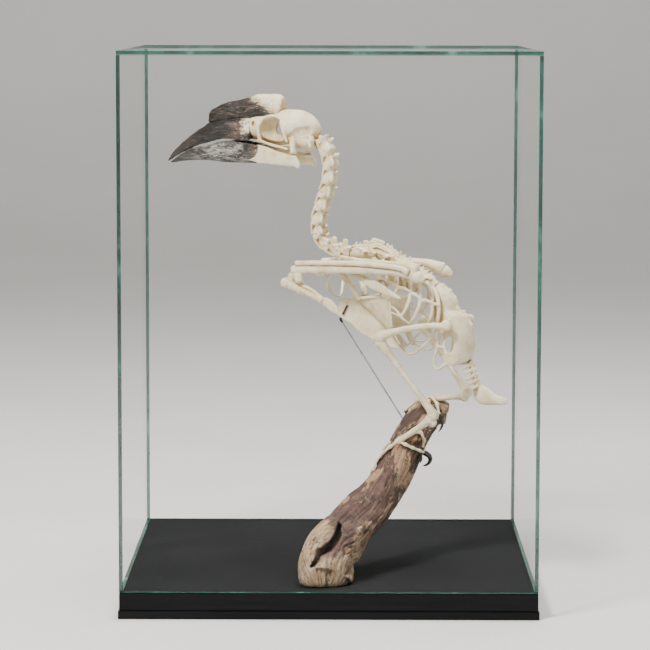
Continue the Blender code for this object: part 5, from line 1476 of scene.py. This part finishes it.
def make_foot(side, word):
    knuckle = ball(TOES[side][0][0], (3, 3, 2.6), frame=ROOM)
    node("foot_" + word, [knuckle, *map(toe, TOES[side])])
    for number, line in enumerate(CLAWS[side], start=1):
        count = len(line) - 1
        stout = 2.5 if (number, word) == (3, "left") else 1.95
        stations = [(*place, stout * (1 - 0.78 * (k / count) ** 1.5)) for k, place in enumerate(line)]
        finish = "bone" if (number, word) == (1, "left") else "claw"
        node(f"claw_{word}_{number}", [rod(stations, across=UPWARD, frame=ROOM)], finish)


TAIL_LINE = ((-101.8, 0, 199), (-103.8, 0, 193), (-105.8, 0, 187), (-107.6, 0, 181.6), (-109.4, 0, 176.6))

PYGOSTYLE = (  # u, top, bottom and half width
    (-105.6, 173.6, 165.6, 2), (-109.5, 178.4, 162.8, 2.9), (-113.5, 178.2, 161.6, 2.8),
    (-119.5, 174.8, 161.2, 2.3), (-126.4, 170.8, 162.2, 1.9), (-132, 169.6, 162.2, 1.5), (-136.4, 168.2, 163, 1),
)


def make_tail():
    """Free tail vertebrae with their side bars and spines, and the ploughshare bone."""
    pieces = [rod([(*place, 3, 2.6) for place in TAIL_LINE], blunt=0.1)]
    for i in range(5):
        place = Vector((-102.8 - 1.75 * i, 0, 196.6 - 4.6 * i))
        reach = 10 - 0.5 * i
        tips = [(*(place + Vector((3.8, reach * side, -3 + 0.5 * sin(2.1 * i)))), 1.9, 1.3) for side in (1, -1)]
        pieces.append(rod([tips[0], (*place, 2, 1.9), tips[1]], blunt=0))
        if i < 4:
            spine = place + Vector((-3.6, 0, 1.2))
            pieces.append(rod([(*place, 1.5, 1.5), (*spine, 1.1, 1)], blunt=0))
    node("tail_vertebrae", pieces)
    node("pygostyle", [rod(profile(PYGOSTYLE), sides=16, blunt=0.4)])


FLOOR_LINE = (  # y, z in millimetres
    (-4000, 0), (-1500, 0), (0, 0), (1500, 0), (2600, 0), (3100, 60), (3450, 260), (3600, 700), (3650, 3500),
)
LIGHTS = (  # place and size in metres, power and colour
    ("key", (-1, -1.3, 2), 0.5, 108, (1, 0.975, 0.93)),
    ("fill", (1.8, -1.3, 0.9), 1.4, 10, (0.97, 0.98, 1)),
    ("top", (0.3, 0.4, 2.1), 1, 52, (1, 0.99, 0.97)),
)


def studio():
    """Pale floor that rises softly at the back, and studio lights."""
    bm = bmesh.new()
    rows = [[bm.verts.new((x, y, z)) for x in (-5000, -1500, 0, 1500, 5000)] for y, z in FLOOR_LINE]
    for low, high in zip(rows, rows[1:]):
        for i in range(4):
            bm.faces.new((low[i], low[i + 1], high[i + 1], high[i]))
    floor = mesh_object(bm, ROOM)
    floor.name = "floor"
    bpy.context.scene.collection.objects.link(floor)
    smooth = floor.modifiers.new("smooth", "SUBSURF")
    smooth.levels = 3
    bake(floor)
    floor.data.shade_smooth()
    floor.data.materials.append(MATERIALS["floor_look"])
    aim = Vector((0, 0, 0.25))
    for name, place, size, power, colour in LIGHTS:
        lamp = bpy.data.lights.new(name, "AREA")
        lamp.size = size
        lamp.energy = power
        lamp.color = colour
        thing = bpy.data.objects.new(name, lamp)
        thing.location = place
        thing.rotation_euler = (aim - Vector(place)).to_track_quat("-Z", "Y").to_euler()
        bpy.context.scene.collection.objects.link(thing)
    world = bpy.data.worlds.new("studio")
    world.use_nodes = True
    sky = world.node_tree.nodes["Background"].inputs
    sky["Color"].default_value = (0.83, 0.84, 0.86, 1)
    sky["Strength"].default_value = 0.27
    bpy.context.scene.world = world


CAMERA_YAW = radians(-0.34)
CAMERA_PITCH = radians(6.322)
CAMERA_ROLL = radians(0.103)
CAMERA_PLACE = (0.0105, -2.5205, 0.5061)
FOCAL_PIXELS = 2876.6
FRAME_PIXELS = 650
SENSOR = 36


def make_camera():
    """Camera at the photograph's own place and angle."""
    forward = Vector((sin(CAMERA_YAW) * cos(CAMERA_PITCH), cos(CAMERA_YAW) * cos(CAMERA_PITCH), -sin(CAMERA_PITCH)))
    right = Vector((cos(CAMERA_YAW), -sin(CAMERA_YAW), 0))
    up = right.cross(forward)
    level = cos(CAMERA_ROLL) * right + sin(CAMERA_ROLL) * up
    top = cos(CAMERA_ROLL) * up - sin(CAMERA_ROLL) * right
    lens = bpy.data.cameras.new("camera")
    lens.sensor_width = SENSOR
    lens.lens = FOCAL_PIXELS / FRAME_PIXELS * SENSOR
    lens.clip_end = 50
    camera = bpy.data.objects.new("camera", lens)
    turn = Matrix((level, top, -forward)).transposed()
    camera.matrix_world = Matrix.Translation(CAMERA_PLACE) @ turn.to_4x4()
    bpy.context.scene.collection.objects.link(camera)
    bpy.context.scene.camera = camera


def make_bird():
    """All bones and horn, a node for each solid."""
    make_skull()
    make_bill()
    make_neck()
    make_back()
    for side, word in SIDES:
        make_ribs(side, word)
    make_sternum()
    for side, word in SIDES:
        make_wing(side, word)
        make_shoulder(side, word)
    make_furcula()
    make_pelvis()
    for side, word in SIDES:
        make_leg(side, word)
        make_foot(side, word)
    make_tail()


make_materials()
make_case()
make_perch()
make_bird()
make_rod()
studio()
make_camera()
